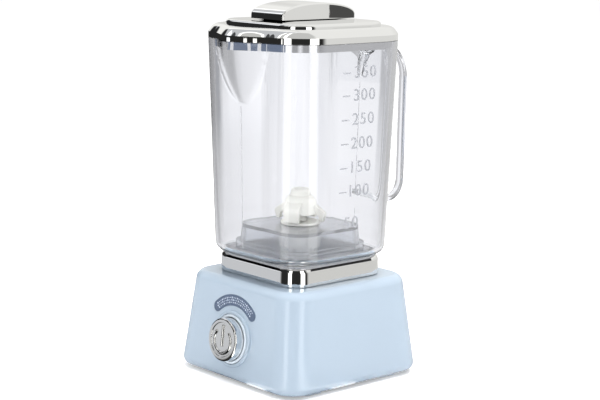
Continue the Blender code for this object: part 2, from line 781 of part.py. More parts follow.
def cut_housing(housing, root, button_axis):
    bore_r = SCREW_SHANK_R + FIT_GAP
    pillar_bore = cylinder_mesh("pillar_bore", bore_r, PLATE_TOP_Z,
                                PLATE_TOP_Z + SCREW_LENGTH, SMALL_ROUND_STEPS)
    for i, (x, y) in enumerate(pillar_places()):
        cut(housing, add_tool(f"pillar_bore_{i + 1}", pillar_bore, root, (x, y, 0)))
    post_bore = cylinder_mesh("post_bore", bore_r, DECK_TOP_Z, DECK_Z + SCREW_LENGTH,
                              SMALL_ROUND_STEPS)
    for i, (x, y) in enumerate(POST_PLACES):
        cut(housing, add_tool(f"post_bore_{i + 1}", post_bore, root, (x, y, 0)))
    bush_bore = cylinder_mesh("bush_bore", BUSH_R + FIT_GAP,
                              WALL_INSIDE_Z - BUSH_BOSS_DEPTH - OVERRUN,
                              BASE_TOP_Z + OVERRUN, ROUND_STEPS)
    cut(housing, add_tool("bush_bore", bush_bore, root))
    peg_hole = cylinder_mesh("peg_hole", COLLAR_PEG_R + FIT_GAP, WALL_INSIDE_Z - OVERRUN,
                             BASE_TOP_Z + OVERRUN, SMALL_ROUND_STEPS)
    for i, (x, y) in enumerate(peg_places()):
        cut(housing, add_tool(f"peg_hole_{i + 1}", peg_hole, root, (x, y, 0)))
    button_hole = cylinder_mesh("button_hole", BUTTON_R + SLIDE_GAP, -BASE_WALL - OVERRUN,
                                BOSS_H + OVERRUN, ROUND_STEPS)
    cut(housing, add_tool("button_hole", button_hole, button_axis))
    bezel_seat = cylinder_mesh("bezel_seat", BEZEL_R + SLIDE_GAP, 0, BOSS_H + OVERRUN,
                               ROUND_STEPS)
    cut(housing, add_tool("bezel_seat", bezel_seat, button_axis))
    badge_seat = plate_mesh("badge_seat", [badge_outline(FIT_GAP)], -BADGE_SINK, OVERRUN)
    cut(housing, add_tool("badge_seat", badge_seat, button_axis))
    board_bore = cylinder_mesh("board_bore", bore_r, BOARD_FRONT, BOARD_BACK + BOARD_SCREW_LENGTH,
                               SMALL_ROUND_STEPS)
    for side in (-1, 1):
        cut(housing, add_tool(f"board_bore_{side}", board_bore, button_axis,
                              (side * BOARD_POST_X, 0, 0)))


def peg_places():
    """Collar pegs, in the middle of each side of its wall."""
    middle = (COLLAR_HALF + NECK_HALF + REST_GAP) / 2
    return [(middle, 0), (0, middle), (-middle, 0), (0, -middle)]


def make_base_plate(root):
    outline = rounded_box(PLATE_HALF, PLATE_HALF, PLATE_CORNER, SMALL_CORNER_STEPS)
    plate = add_object("base_plate", plate_mesh("base_plate", [outline], PLATE_Z, PLATE_TOP_Z),
                       "blue", root)
    gap = PLATE_GAP
    opening = box_mesh("door_opening",
                       (-BOX_OUT_X - gap, BOX_FRONT_Y - gap, PLATE_Z - OVERRUN),
                       (BOX_OUT_X + gap, BOX_BACK_Y + gap, PLATE_TOP_Z + OVERRUN))
    cut(plate, add_tool("door_opening", opening, root))
    ear = cylinder_mesh("ear_opening", BOX_EAR_R + gap, PLATE_Z - OVERRUN,
                        PLATE_TOP_Z + OVERRUN, SMALL_ROUND_STEPS)
    for side in (-1, 1):
        cut(plate, add_tool(f"ear_opening_{side}", ear, root, (side * BOX_EAR_X, BOX_EAR_Y, 0)))
    for i, (x, y) in enumerate(pillar_places()):
        cut(plate, add_tool(f"plate_screw_seat_{i + 1}", screw_seat_mesh(PLATE_Z), root, (x, y, 0)))
        cut(plate, add_tool(f"plate_screw_hole_{i + 1}", screw_hole_mesh(PLATE_Z), root, (x, y, 0)))
    seat = plate_mesh("foot_seat", [rounded_box(FOOT_HALF_X + FIT_GAP, FOOT_HALF_Y + FIT_GAP,
                                                FOOT_HALF_X * FOOT_ROUND_SHARE)],
                      PLATE_Z - OVERRUN, PLATE_Z + FOOT_SINK)
    foot = plate_mesh("foot", [rounded_box(FOOT_HALF_X, FOOT_HALF_Y,
                                           FOOT_HALF_X * FOOT_ROUND_SHARE)],
                      0, PLATE_Z + FOOT_SINK - FIT_GAP)
    for row, y in (("front", -FOOT_Y), ("back", FOOT_Y)):
        for hand, x in (("left", -FOOT_X), ("right", FOOT_X)):
            cut(plate, add_tool(f"foot_seat_{row}_{hand}", seat, root, (x, y, 0)))
            pad = add_object(f"foot_{row}_{hand}", foot.copy(), "rubber", root, (x, y, 0))
            bevel(pad, FOOT_BEVEL, 1)
    add_screws("base_plate_screw", SCREW_LENGTH, root,
               [(x, y, PLATE_Z + FIT_GAP) for x, y in pillar_places()])


def screw_seat_mesh(face_z):
    """The counterbore of a screw whose head lies flush with a face."""
    return cylinder_mesh("screw_seat", SCREW_HEAD_R + REST_GAP, face_z - OVERRUN,
                         face_z + SCREW_HEAD_H + FIT_GAP * 2, SMALL_ROUND_STEPS)


def screw_hole_mesh(face_z):
    return cylinder_mesh("screw_hole", SCREW_SHANK_R + FIT_GAP, face_z - OVERRUN,
                         face_z + PLATE_THICK + OVERRUN, SMALL_ROUND_STEPS)


def make_battery_door(root, door_frame):
    low = (-BOX_OUT_X, BOX_FRONT_Y, PLATE_Z)
    high = (BOX_OUT_X, BOX_BACK_Y, PLATE_TOP_Z)
    door = add_object("battery_door", box_mesh("battery_door", low, high), "blue", door_frame)
    ear = cylinder_mesh("door_ear", BOX_EAR_R, PLATE_Z, PLATE_TOP_Z, SMALL_ROUND_STEPS)
    for side in (-1, 1):
        join(door, add_tool(f"door_ear_{side}", ear, root, (side * BOX_EAR_X, BOX_EAR_Y, 0)))
        cut(door, add_tool(f"door_screw_seat_{side}", screw_seat_mesh(PLATE_Z), root,
                           (side * BOX_EAR_X, BOX_EAR_Y, 0)))
        cut(door, add_tool(f"door_screw_hole_{side}", screw_hole_mesh(PLATE_Z), root,
                           (side * BOX_EAR_X, BOX_EAR_Y, 0)))
    middle_y = (BOX_FRONT_Y + BOX_BACK_Y) / 2
    for i in range(DOOR_RIB_COUNT):
        x = DOOR_RIB_W * 2 * (i - (DOOR_RIB_COUNT - 1) / 2)
        rib = box_mesh("door_rib", (x - DOOR_RIB_W / 2, middle_y - DOOR_RIB_HALF, PLATE_Z - DOOR_RIB_H),
                       (x + DOOR_RIB_W / 2, middle_y + DOOR_RIB_HALF, PLATE_Z + UNION_LAP))
        join(door, add_tool(f"door_rib_{i + 1}", rib, root))
    add_screws("battery_door_screw", BOX_EAR_H, door_frame,
               [(side * BOX_EAR_X, BOX_EAR_Y, PLATE_Z + FIT_GAP) for side in (-1, 1)])


def make_battery_box(root):
    floor_z = PLATE_TOP_Z + REST_GAP
    box = add_object("battery_box",
                     box_mesh("battery_box", (-BOX_OUT_X, BOX_FRONT_Y, floor_z),
                              (BOX_OUT_X, BOX_BACK_Y, BOX_TOP_Z)), "black", root)
    flange = box_mesh("box_flange",
                      (-BOX_FLANGE_HALF_X, BOX_FRONT_Y - BOX_FLANGE, floor_z),
                      (BOX_FLANGE_HALF_X, BOX_BACK_Y + BOX_FLANGE, floor_z + BOX_WALL))
    join(box, add_tool("box_flange", flange, root))
    ear = cylinder_mesh("box_ear", BOX_EAR_R, floor_z, floor_z + BOX_EAR_H, SMALL_ROUND_STEPS)
    bore = cylinder_mesh("box_ear_bore", SCREW_SHANK_R + FIT_GAP, floor_z - OVERRUN,
                         floor_z + BOX_EAR_H - BOX_WALL, SMALL_ROUND_STEPS)
    for side in (-1, 1):
        join(box, add_tool(f"box_ear_{side}", ear, root, (side * BOX_EAR_X, BOX_EAR_Y, 0)))
    room = box_mesh("box_room",
                    (-BOX_OUT_X + BOX_WALL, BOX_FRONT_Y + BOX_WALL, floor_z - OVERRUN),
                    (BOX_OUT_X - BOX_WALL, BOX_BACK_Y - BOX_WALL, BOX_TOP_Z - BOX_WALL))
    cut(box, add_tool("box_room", room, root))
    for side in (-1, 1):
        cut(box, add_tool(f"box_ear_bore_{side}", bore, root, (side * BOX_EAR_X, BOX_EAR_Y, 0)))


def make_cells(root):
    """Two cells head to tail, their contacts and springs."""
    half = CELL_LENGTH / 2
    profile = [(0, half + CELL_NUB_H), (CELL_NUB_R, half + CELL_NUB_H), (CELL_NUB_R, half),
               (CELL_R - CELL_EDGE, half), (CELL_R, half - CELL_EDGE),
               (CELL_R, -half + CELL_EDGE), (CELL_R - CELL_EDGE, -half), (0, -half)]
    for name, y, side in (("battery_front", CELL_FRONT_Y, 1), ("battery_rear", CELL_REAR_Y, -1)):
        add_object(name, turned_mesh(name, profile, SMALL_ROUND_STEPS), "cell", root,
                   (-side * CELL_NUB_H / 2, y, CELL_Z), (0, side * math.pi / 2, 0))
    end = BOX_OUT_X - BOX_WALL - REST_GAP
    tip = half + CELL_NUB_H / 2 + REST_GAP
    plates = (("contact_bridge", 1, CELL_FRONT_Y - CONTACT_HALF_W, CELL_REAR_Y + CONTACT_HALF_W),
              ("contact_plus", -1, CELL_REAR_Y - CONTACT_HALF_W, CELL_REAR_Y + CONTACT_HALF_W),
              ("contact_minus", -1, CELL_FRONT_Y - CONTACT_HALF_W, CELL_FRONT_Y + CONTACT_HALF_W))
    for name, side, low_y, high_y in plates:
        inner, outer = sorted((side * (end - CONTACT_THICK), side * end))
        plate = add_object(name, box_mesh(name, (inner, low_y, CELL_Z - CONTACT_HALF_H),
                                          (outer, high_y, CELL_Z + CONTACT_HALF_H)),
                           "steel", root)
        if name != "contact_minus":
            dimple = cylinder_mesh("dimple", CELL_NUB_R, 0, end - CONTACT_THICK / 2 - tip,
                                   SMALL_ROUND_STEPS)
            y = CELL_FRONT_Y if side > 0 else CELL_REAR_Y
            join(plate, add_tool(f"{name}_dimple", dimple, root, (side * tip, y, CELL_Z),
                                 (0, side * math.pi / 2, 0)))
    room = end - CONTACT_THICK - REST_GAP - SPRING_WIRE_R - (tip + SPRING_WIRE_R)
    spring = spring_mesh("cell_spring", room)
    for name, side, y in (("spring_minus", -1, CELL_FRONT_Y), ("spring_bridge", 1, CELL_REAR_Y)):
        add_object(name, spring.copy(), "steel", root,
                   (side * (tip + SPRING_WIRE_R), y, CELL_Z), (0, side * math.pi / 2, 0))


def spring_mesh(name, length):
    """A conical coil along +Z, narrow end at the cell."""
    curve = bpy.data.curves.new(name, "CURVE")
    curve.dimensions = "3D"
    curve.bevel_depth = SPRING_WIRE_R
    curve.bevel_resolution = 1
    curve.use_fill_caps = True
    count = SPRING_TURNS * SPRING_TURN_POINTS
    spline = curve.splines.new("POLY")
    spline.points.add(count)
    for i, point in enumerate(spline.points):
        share = i / count
        radius = SPRING_R * (SPRING_TIP_SHARE + (1 - SPRING_TIP_SHARE) * share)
        angle = math.tau * SPRING_TURNS * share
        point.co = (radius * math.cos(angle), radius * math.sin(angle), length * share, 1)
    holder = bpy.data.objects.new(name, curve)
    bpy.context.scene.collection.objects.link(holder)
    return mesh_of(holder)


def collar_ring(half, z):
    return ring(half, COLLAR_CORNER - (COLLAR_HALF - half), z, front_steps=1)


def make_collar(root):
    inner = NECK_HALF + REST_GAP
    low_z = BASE_TOP_Z + REST_GAP
    rings = [collar_ring(inner, COLLAR_TOP_Z)]
    rings += [collar_ring(half, z) for half, z in
              arc((COLLAR_HALF - COLLAR_TOP_FILLET, COLLAR_TOP_Z - COLLAR_TOP_FILLET),
                  COLLAR_TOP_FILLET, 90, 0, FILLET_STEPS)]
    rings += [collar_ring(COLLAR_HALF, low_z), collar_ring(inner, low_z)]
    collar = add_object("jug_collar", loft_mesh("jug_collar", rings, closed=True), "chrome", root)
    peg = cylinder_mesh("collar_peg", COLLAR_PEG_R, low_z - COLLAR_PEG_LENGTH, low_z + UNION_LAP,
                        SMALL_ROUND_STEPS)
    for i, (x, y) in enumerate(peg_places()):
        join(collar, add_tool(f"collar_peg_{i + 1}", peg, root, (x, y, 0)))


def make_button(button_axis):
    bezel_profile = [(BUTTON_R + SLIDE_GAP, BEZEL_TOP), (BEZEL_R - BEZEL_ROUND, BEZEL_TOP),
                     (BEZEL_R, BEZEL_TOP - BEZEL_ROUND), (BEZEL_R, REST_GAP),
                     (BUTTON_R + SLIDE_GAP, REST_GAP)]
    add_object("button_bezel", turned_mesh("button_bezel", bezel_profile), "white", button_axis)
    flange_top = -BASE_WALL - SLIDE_GAP
    under = BUTTON_FRONT - BUTTON_WALL
    profile = [(0, BUTTON_FRONT - BUTTON_DISH), (BUTTON_R / 2, BUTTON_FRONT - BUTTON_DISH),
               (BUTTON_R - BUTTON_BEVEL * 2, BUTTON_FRONT - BUTTON_DISH),
               (BUTTON_R - BUTTON_BEVEL * 1.5, BUTTON_FRONT),
               (BUTTON_R - BUTTON_BEVEL, BUTTON_FRONT), (BUTTON_R, BUTTON_FRONT - BUTTON_BEVEL),
               (BUTTON_R, flange_top), (BUTTON_FLANGE_R, flange_top),
               (BUTTON_FLANGE_R, flange_top - BUTTON_FLANGE_H),
               (BUTTON_R - BUTTON_WALL, flange_top - BUTTON_FLANGE_H),
               (BUTTON_R - BUTTON_WALL, under), (STEM_R, under), (STEM_R, STEM_END),
               (0, STEM_END)]
    add_object("power_button", turned_mesh("power_button", profile), "chrome", button_axis)
    plunger = cylinder_mesh("switch_plunger", PLUNGER_R, SWITCH_FRONT - PLUNGER_IN,
                            SWITCH_FRONT + PLUNGER_OUT, SMALL_ROUND_STEPS)
    add_object("switch_plunger", plunger, "white", button_axis)
    switch = add_object("push_switch",
                        box_mesh("push_switch", (-SWITCH_HALF, -SWITCH_HALF, SWITCH_BACK),
                                 (SWITCH_HALF, SWITCH_HALF, SWITCH_FRONT)), "black", button_axis)
    bevel(switch, SWITCH_EDGE, 1)
    bore = cylinder_mesh("plunger_bore", PLUNGER_R + FIT_GAP,
                         SWITCH_FRONT - PLUNGER_IN - BUTTON_TRAVEL - REST_GAP,
                         SWITCH_FRONT + OVERRUN, SMALL_ROUND_STEPS)
    cut(switch, add_tool("plunger_bore", bore, button_axis))
    board = add_object("circuit_board",
                       box_mesh("circuit_board", (-BOARD_HALF_X, -BOARD_HALF_V, BOARD_BACK),
                                (BOARD_HALF_X, BOARD_HALF_V, BOARD_FRONT)), "board", button_axis)
    hole = cylinder_mesh("board_hole", SCREW_SHANK_R + FIT_GAP, BOARD_BACK - OVERRUN,
                         BOARD_FRONT + OVERRUN, SMALL_ROUND_STEPS)
    for side in (-1, 1):
        cut(board, add_tool(f"board_hole_{side}", hole, button_axis, (side * BOARD_POST_X, 0, 0)))
    add_screws("board_screw", BOARD_SCREW_LENGTH, button_axis,
               [(side * BOARD_POST_X, 0, BOARD_BACK - SCREW_HEAD_H - FIT_GAP)
                for side in (-1, 1)])
    low = -BADGE_SINK + FIT_GAP
    badge = plate_mesh("badge_plate", [badge_outline()], low, low + BADGE_THICK)
    add_object("badge_plate", badge, "slate", button_axis)


def involute_outline(teeth, shift, phase, bore_r, bore_steps):
    """A gear's outline with true involute flanks, and its bore."""
    pitch = MODULE * teeth / 2
    pressure = math.radians(PRESSURE_DEG)
    base = pitch * math.cos(pressure)
    trim = TIP_TRIM_SHARE if shift > 0 else 0
    tip = pitch + MODULE * (TIP_SHARE + shift - trim)
    root = pitch - MODULE * (ROOT_SHARE - shift)
    thickness = MODULE * (math.pi / 2 + 2 * shift * math.tan(pressure)) - BACKLASH
    half_angle = thickness / (2 * pitch)
    spread = math.tan(pressure) - pressure

    def flank_angle(radius):
        if radius <= base:
            return half_angle + spread
        lean = math.acos(base / radius)
        return half_angle + spread - (math.tan(lean) - lean)

    start = max(root, base)
    radii = [root] if base - root > MODULE * ROOT_STEP_SHARE else []
    radii += [start + (tip - start) * i / FLANK_STEPS for i in range(FLANK_STEPS + 1)]
    points = []
    for tooth in range(teeth):
        middle = phase + math.tau * tooth / teeth
        for radius in radii:
            points.append((radius, middle - flank_angle(radius)))
        for radius in reversed(radii):
            points.append((radius, middle + flank_angle(radius)))
    outline = [(radius * math.cos(angle), radius * math.sin(angle)) for radius, angle in points]
    return [outline, circle(bore_r, bore_steps)]


def make_drive(root):
    """Motor, reduction gear, shaft and the dog that drives the jug."""
    motor_angle = math.radians(MOTOR_ANGLE_DEG)
    drive_axis = add_empty("drive_axis", root)
    motor_axis = add_empty("motor_axis", root, (MOTOR_X, MOTOR_Y, 0))
    outlines = involute_outline(GEAR_TEETH, -PINION_SHIFT_SHARE, motor_angle,
                                SHAFT_R + FIT_GAP, ROUND_STEPS)
    hole_ring = (GEAR_HUB_R + MODULE * GEAR_TEETH / 2) / 2
    outlines += [circle(GEAR_HOLE_R, SMALL_ROUND_STEPS,
                        (hole_ring * math.cos(math.tau * i / GEAR_HOLES),
                         hole_ring * math.sin(math.tau * i / GEAR_HOLES)))
                 for i in range(GEAR_HOLES)]
    gear = add_object("drive_gear",
                      plate_mesh("drive_gear", outlines, GEAR_Z, GEAR_Z + GEAR_THICK),
                      "white", drive_axis)
    hub = plate_mesh("gear_hub", [circle(GEAR_HUB_R), circle(SHAFT_R + FIT_GAP)],
                     GEAR_Z + UNION_LAP, GEAR_Z + GEAR_THICK + GEAR_HUB_H)
    join(gear, add_tool("gear_hub", hub, drive_axis))
    pinion_phase = motor_angle + math.pi + math.pi / PINION_TEETH
    pinion = involute_outline(PINION_TEETH, PINION_SHIFT_SHARE, pinion_phase,
                              MOTOR_SHAFT_R + FIT_GAP, SMALL_ROUND_STEPS)
    add_object("motor_pinion",
               plate_mesh("motor_pinion", pinion, PINION_Z, PINION_Z + PINION_LENGTH),
               "brass", motor_axis)
    motor_top = DECK_Z - REST_GAP
    shaft_low = motor_top + MOTOR_NOSE_H - MOTOR_SHAFT_DEPTH
    add_object("motor_shaft",
               cylinder_mesh("motor_shaft", MOTOR_SHAFT_R, shaft_low, PINION_Z + PINION_LENGTH,
                             SMALL_ROUND_STEPS), "steel", motor_axis)
    make_motor(root, motor_top, shaft_low)
    add_object("output_shaft", cylinder_mesh("output_shaft", SHAFT_R, SHAFT_BOTTOM_Z, SHAFT_TOP_Z),
               "steel", drive_axis)
    make_bush("shaft_bush_lower", root, DECK_Z, DECK_TOP_Z + REST_GAP)
    make_bush("shaft_bush_upper", root, BASE_TOP_Z - UPPER_BUSH_DEPTH, BASE_TOP_Z + REST_GAP)
    make_dog(drive_axis)


def make_bush(name, parent, low_z, flange_z):
    bore = SHAFT_R + RUNNING_GAP
    top = flange_z + BUSH_FLANGE_H
    profile = [(bore, top), (BUSH_FLANGE_R, top), (BUSH_FLANGE_R, flange_z), (BUSH_R, flange_z),
               (BUSH_R, low_z), (bore, low_z)]
    add_object(name, turned_mesh(name, profile, SMALL_ROUND_STEPS), "brass", parent)


def star(mean, steps_per_lobe=4):
    """The lobed outline that the dog and its socket share."""
    count = DOG_LOBES * steps_per_lobe
    return [((mean + DOG_LOBE * math.cos(math.tau * i / steps_per_lobe))
             * math.cos(math.tau * i / count),
             (mean + DOG_LOBE * math.cos(math.tau * i / steps_per_lobe))
             * math.sin(math.tau * i / count)) for i in range(count)]


def make_dog(drive_axis):
    low = BASE_TOP_Z + REST_GAP + BUSH_FLANGE_H + REST_GAP
    dog = add_object("drive_coupling",
                     plate_mesh("drive_coupling", [star(DOG_MEAN_R)], low, DOG_TOP_Z),
                     "ivory", drive_axis)
    flange = cylinder_mesh("dog_flange", DOG_FLANGE_R, low - FIT_GAP, low + DOG_FLANGE_H)
    join(dog, add_tool("dog_flange", flange, drive_axis))
    bore = cylinder_mesh("dog_bore", SHAFT_R + FIT_GAP, low - OVERRUN, SHAFT_TOP_Z + REST_GAP)
    cut(dog, add_tool("dog_bore", bore, drive_axis))


def motor_outline(grow=0.0):
    """A round can with two flats."""
    radius, flat = MOTOR_R + grow, MOTOR_FLAT + grow
    limit = math.asin(flat / radius)
    points = []
    for start in (-limit, math.pi - limit):
        points += [(radius * math.cos(start + 2 * limit * i / CAN_STEPS),
                    radius * math.sin(start + 2 * limit * i / CAN_STEPS))
                   for i in range(CAN_STEPS + 1)]
    return points


def make_motor(root, top_z, shaft_low):
    frame = add_empty("motor_frame", root, (MOTOR_X, MOTOR_Y, 0))
    low_z = top_z - MOTOR_LENGTH
    can = add_object("motor_can", plate_mesh("motor_can", [motor_outline()], low_z, top_z),
                     "steel", frame)
    bevel(can, MOTOR_EDGE, 1)
    nose = cylinder_mesh("motor_nose", MOTOR_NOSE_R, top_z - UNION_LAP, top_z + MOTOR_NOSE_H,
                         SMALL_ROUND_STEPS)
    join(can, add_tool("motor_nose", nose, frame))
    bore = cylinder_mesh("motor_bore", MOTOR_SHAFT_R + RUNNING_GAP, shaft_low - REST_GAP,
                         top_z + MOTOR_NOSE_H + OVERRUN, SMALL_ROUND_STEPS)
    cut(can, add_tool("motor_bore", bore, frame))
    cap_top = low_z - REST_GAP
    cap_low = cap_top - MOTOR_CAP_LENGTH
    cap = add_object("motor_end_cap",
                     plate_mesh("motor_end_cap", [motor_outline(-MOTOR_EDGE)], cap_low, cap_top),
                     "white", frame)
    knob = cylinder_mesh("cap_knob", MOTOR_NOSE_R, cap_low - MOTOR_CAP_KNOB, cap_low + UNION_LAP,
                         SMALL_ROUND_STEPS)
    join(cap, add_tool("cap_knob", knob, frame))
    middle_z = (cap_low + cap_top) / 2
    for name, y in (("motor_tab_plus", TAB_Y), ("motor_tab_minus", -TAB_Y)):
        edge = -math.sqrt((MOTOR_R - MOTOR_EDGE) ** 2 - TAB_Y ** 2) - REST_GAP
        tab = box_mesh(name, (edge - TAB_LENGTH, y - TAB_WIDTH / 2, middle_z - TAB_THICK),
                       (edge, y + TAB_WIDTH / 2, middle_z))
        add_object(name, tab, "brass", frame)


def make_deck(root):
    """The tray that hangs from three posts, with the motor's cup under it."""
    middle = ((DECK_LEFT + DECK_RIGHT) / 2, (DECK_FRONT + DECK_BACK) / 2)
    outline = rounded_box((DECK_RIGHT - DECK_LEFT) / 2, (DECK_BACK - DECK_FRONT) / 2,
                          DECK_CORNER, centre=middle)
    deck = add_object("gear_deck", plate_mesh("gear_deck", [outline], DECK_Z, DECK_TOP_Z),
                      "white", root)
    cup = plate_mesh("motor_cup", [motor_outline(REST_GAP + MOTOR_CUP_WALL),
                                   motor_outline(REST_GAP)],
                     DECK_Z - MOTOR_CUP_DEPTH, DECK_Z + UNION_LAP)
    join(deck, add_tool("motor_cup", cup, root, (MOTOR_X, MOTOR_Y, 0)))
    nose_hole = cylinder_mesh("nose_hole", MOTOR_NOSE_R + REST_GAP, DECK_Z - OVERRUN,
                              DECK_TOP_Z + OVERRUN, SMALL_ROUND_STEPS)
    cut(deck, add_tool("nose_hole", nose_hole, root, (MOTOR_X, MOTOR_Y, 0)))
    bush_hole = cylinder_mesh("bush_hole", BUSH_R + FIT_GAP, DECK_Z - OVERRUN,
                              DECK_TOP_Z + OVERRUN)
    cut(deck, add_tool("bush_hole", bush_hole, root))
    screw_hole = cylinder_mesh("deck_screw_hole", SCREW_SHANK_R + FIT_GAP, DECK_Z - OVERRUN,
                               DECK_TOP_Z + OVERRUN, SMALL_ROUND_STEPS)
    for i, (x, y) in enumerate(POST_PLACES):
        cut(deck, add_tool(f"deck_screw_hole_{i + 1}", screw_hole, root, (x, y, 0)))
    add_screws("gear_deck_screw", SCREW_LENGTH, root,
               [(x, y, DECK_Z - SCREW_HEAD_H - FIT_GAP) for x, y in POST_PLACES])


def jug_rings():
    """The outer skin of the jug, from its rim down and in over the raised floor."""
    land_z = JUG_RIM_Z - RIM_LAND
    levels = [SPOUT_FOOT_Z + (land_z - SPOUT_FOOT_Z) * (1 - i / SPOUT_STEPS)
              for i in range(SPOUT_STEPS + 1)]
    rings = [ring(jug_half(land_z), JUG_CORNER, JUG_RIM_Z, spout_at(land_z))]
    rings += [ring(jug_half(z), JUG_CORNER, z, spout_at(z)) for z in levels]
    fillet_z = JUG_BOTTOM_Z + JUG_FOOT_FILLET
    foot = jug_half(fillet_z)
    rings += [ring(half, JUG_CORNER - (foot - half), z) for half, z in
              arc((foot - JUG_FOOT_FILLET, fillet_z), JUG_FOOT_FILLET, 0, -90, FILLET_STEPS)]
    ledge, ledge_z = LEDGE_HALF - JUG_WALL, LEDGE_Z - JUG_WALL
    low, top = PLATFORM_HALF + PLATFORM_DRAFT - JUG_WALL, PLATFORM_HALF - JUG_WALL
    corner = PLATFORM_CORNER - JUG_WALL
    rings += [ring(ledge, corner + ledge - top, JUG_BOTTOM_Z),
              ring(ledge, corner + ledge - top, ledge_z),
              ring(low, corner + low - top, ledge_z),
              ring(top, corner, PLATFORM_TOP_Z - JUG_WALL),
              round_ring(SEAL_BODY_R / 2, PLATFORM_TOP_Z - JUG_WALL)]
    return rings


def handle_path():
    """Centre line of the strap in the YZ plane, from the upper root to the lower one."""
    half = HANDLE_THICK / 2
    out = HANDLE_OUT_Y - half
    top = HANDLE_TOP_Z - half
    low = HANDLE_LOW_Z + half
    root = jug_half(HANDLE_TOP_Z) - JUG_WALL / 2
    points = [(root, top), (out - HANDLE_TOP_BEND, top)]
    for i in range(1, HANDLE_STEPS + 1):
        angle = math.pi / 2 * (1 - i / HANDLE_STEPS)
        points.append((out - HANDLE_TOP_BEND + HANDLE_TOP_BEND * math.cos(angle),
                       top - HANDLE_TOP_BEND + HANDLE_TOP_BEND * math.sin(angle)))
    bend = HANDLE_LOW_BEND
    lower_out = out - HANDLE_DRAFT
    for i in range(HANDLE_STEPS):
        angle = -math.radians(HANDLE_LOW_TURN_DEG) * i / (HANDLE_STEPS - 1)
        points.append((lower_out - bend + bend * math.cos(angle),
                       low + bend + bend * math.sin(angle)))
    points.append((jug_half(HANDLE_ROOT_Z) - JUG_WALL / 2, HANDLE_ROOT_Z))
    return points


def strap_mesh():
    """The strap as a curve with a rounded rectangular section."""
    section = bpy.data.curves.new("strap_section", "CURVE")
    section.dimensions = "2D"
    outline = rounded_box(HANDLE_HALF_WIDTH, HANDLE_THICK / 2, HANDLE_EDGE, 2)
    spline = section.splines.new("POLY")
    spline.points.add(len(outline) - 1)
    spline.use_cyclic_u = True
    for point, (x, y) in zip(spline.points, outline):
        point.co = (x, y, 0, 1)
    section_holder = bpy.data.objects.new("strap_section", section)
    bpy.context.scene.collection.objects.link(section_holder)
    curve = bpy.data.curves.new("strap", "CURVE")
    curve.dimensions = "3D"
    curve.bevel_mode = "OBJECT"
    curve.bevel_object = section_holder
    curve.use_fill_caps = True
    path = handle_path()
    spline = curve.splines.new("POLY")
    spline.points.add(len(path) - 1)
    for point, (y, z) in zip(spline.points, path):
        point.co = (0, y, z, 1)
    holder = bpy.data.objects.new("strap", curve)
    bpy.context.scene.collection.objects.link(holder)
    mesh = mesh_of(holder)
    bpy.data.objects.remove(section_holder, do_unlink=True)
    return mesh


def gusset_mesh():
    """The winged root of the handle, flowing from the rim into the strap."""
    top, strap = HANDLE_TOP_Z, HANDLE_HALF_WIDTH
    under = HANDLE_TOP_Z - HANDLE_THICK
    toe = GUSSET_WEB_HALF / 2
    wide = [(-GUSSET_HALF_WIDTH, top), (-GUSSET_HALF_WIDTH, GUSSET_WING_Z),
            (-GUSSET_WEB_HALF, GUSSET_NECK_Z), (-GUSSET_WEB_HALF, GUSSET_FOOT_Z + toe),
            (-toe, GUSSET_FOOT_Z)]
    slim = [(-strap, top), (-strap, under + (top - under) / 2), (-strap, under + toe / 2),
            (-strap, under + toe / 4), (-toe, under)]
    wide += [(-x, z) for x, z in reversed(wide)]
    slim += [(-x, z) for x, z in reversed(slim)]
    start = jug_half(GUSSET_WING_Z) - JUG_WALL * GUSSET_SINK_SHARE
    rings = []
    for i in range(GUSSET_STEPS + 1):
        share = i / GUSSET_STEPS
        pull = (1 - share) ** 2
        y = start + GUSSET_LENGTH * share
        rings.append([Vector((b[0] + (a[0] - b[0]) * pull, y, b[1] + (a[1] - b[1]) * pull))
                      for a, b in zip(wide, slim)])
    return loft_mesh("gusset", rings, capped=True)


def make_jug(root):
    jug = add_object("jug_body", loft_mesh("jug_body", jug_rings()), "clear", root)
    solidify(jug, JUG_WALL)
    low_z = BASE_TOP_Z + REST_GAP
    inner = NECK_HALF - NECK_WALL
    high_z = JUG_BOTTOM_Z + UNION_LAP
    rings = [collar_ring(inner, high_z), collar_ring(NECK_HALF, high_z),
             collar_ring(NECK_HALF, low_z), collar_ring(inner, low_z)]
    join(jug, add_tool("jug_neck", loft_mesh("jug_neck", rings, closed=True), root))
    join(jug, add_tool("jug_gusset", gusset_mesh(), root))
    join(jug, add_tool("jug_strap", strap_mesh(), root))
    seal_bore = cylinder_mesh("seal_bore", SEAL_BODY_R + FIT_GAP,
                              PLATFORM_TOP_Z - JUG_WALL - OVERRUN, PLATFORM_TOP_Z + OVERRUN)
    cut(jug, add_tool("seal_bore", seal_bore, root))


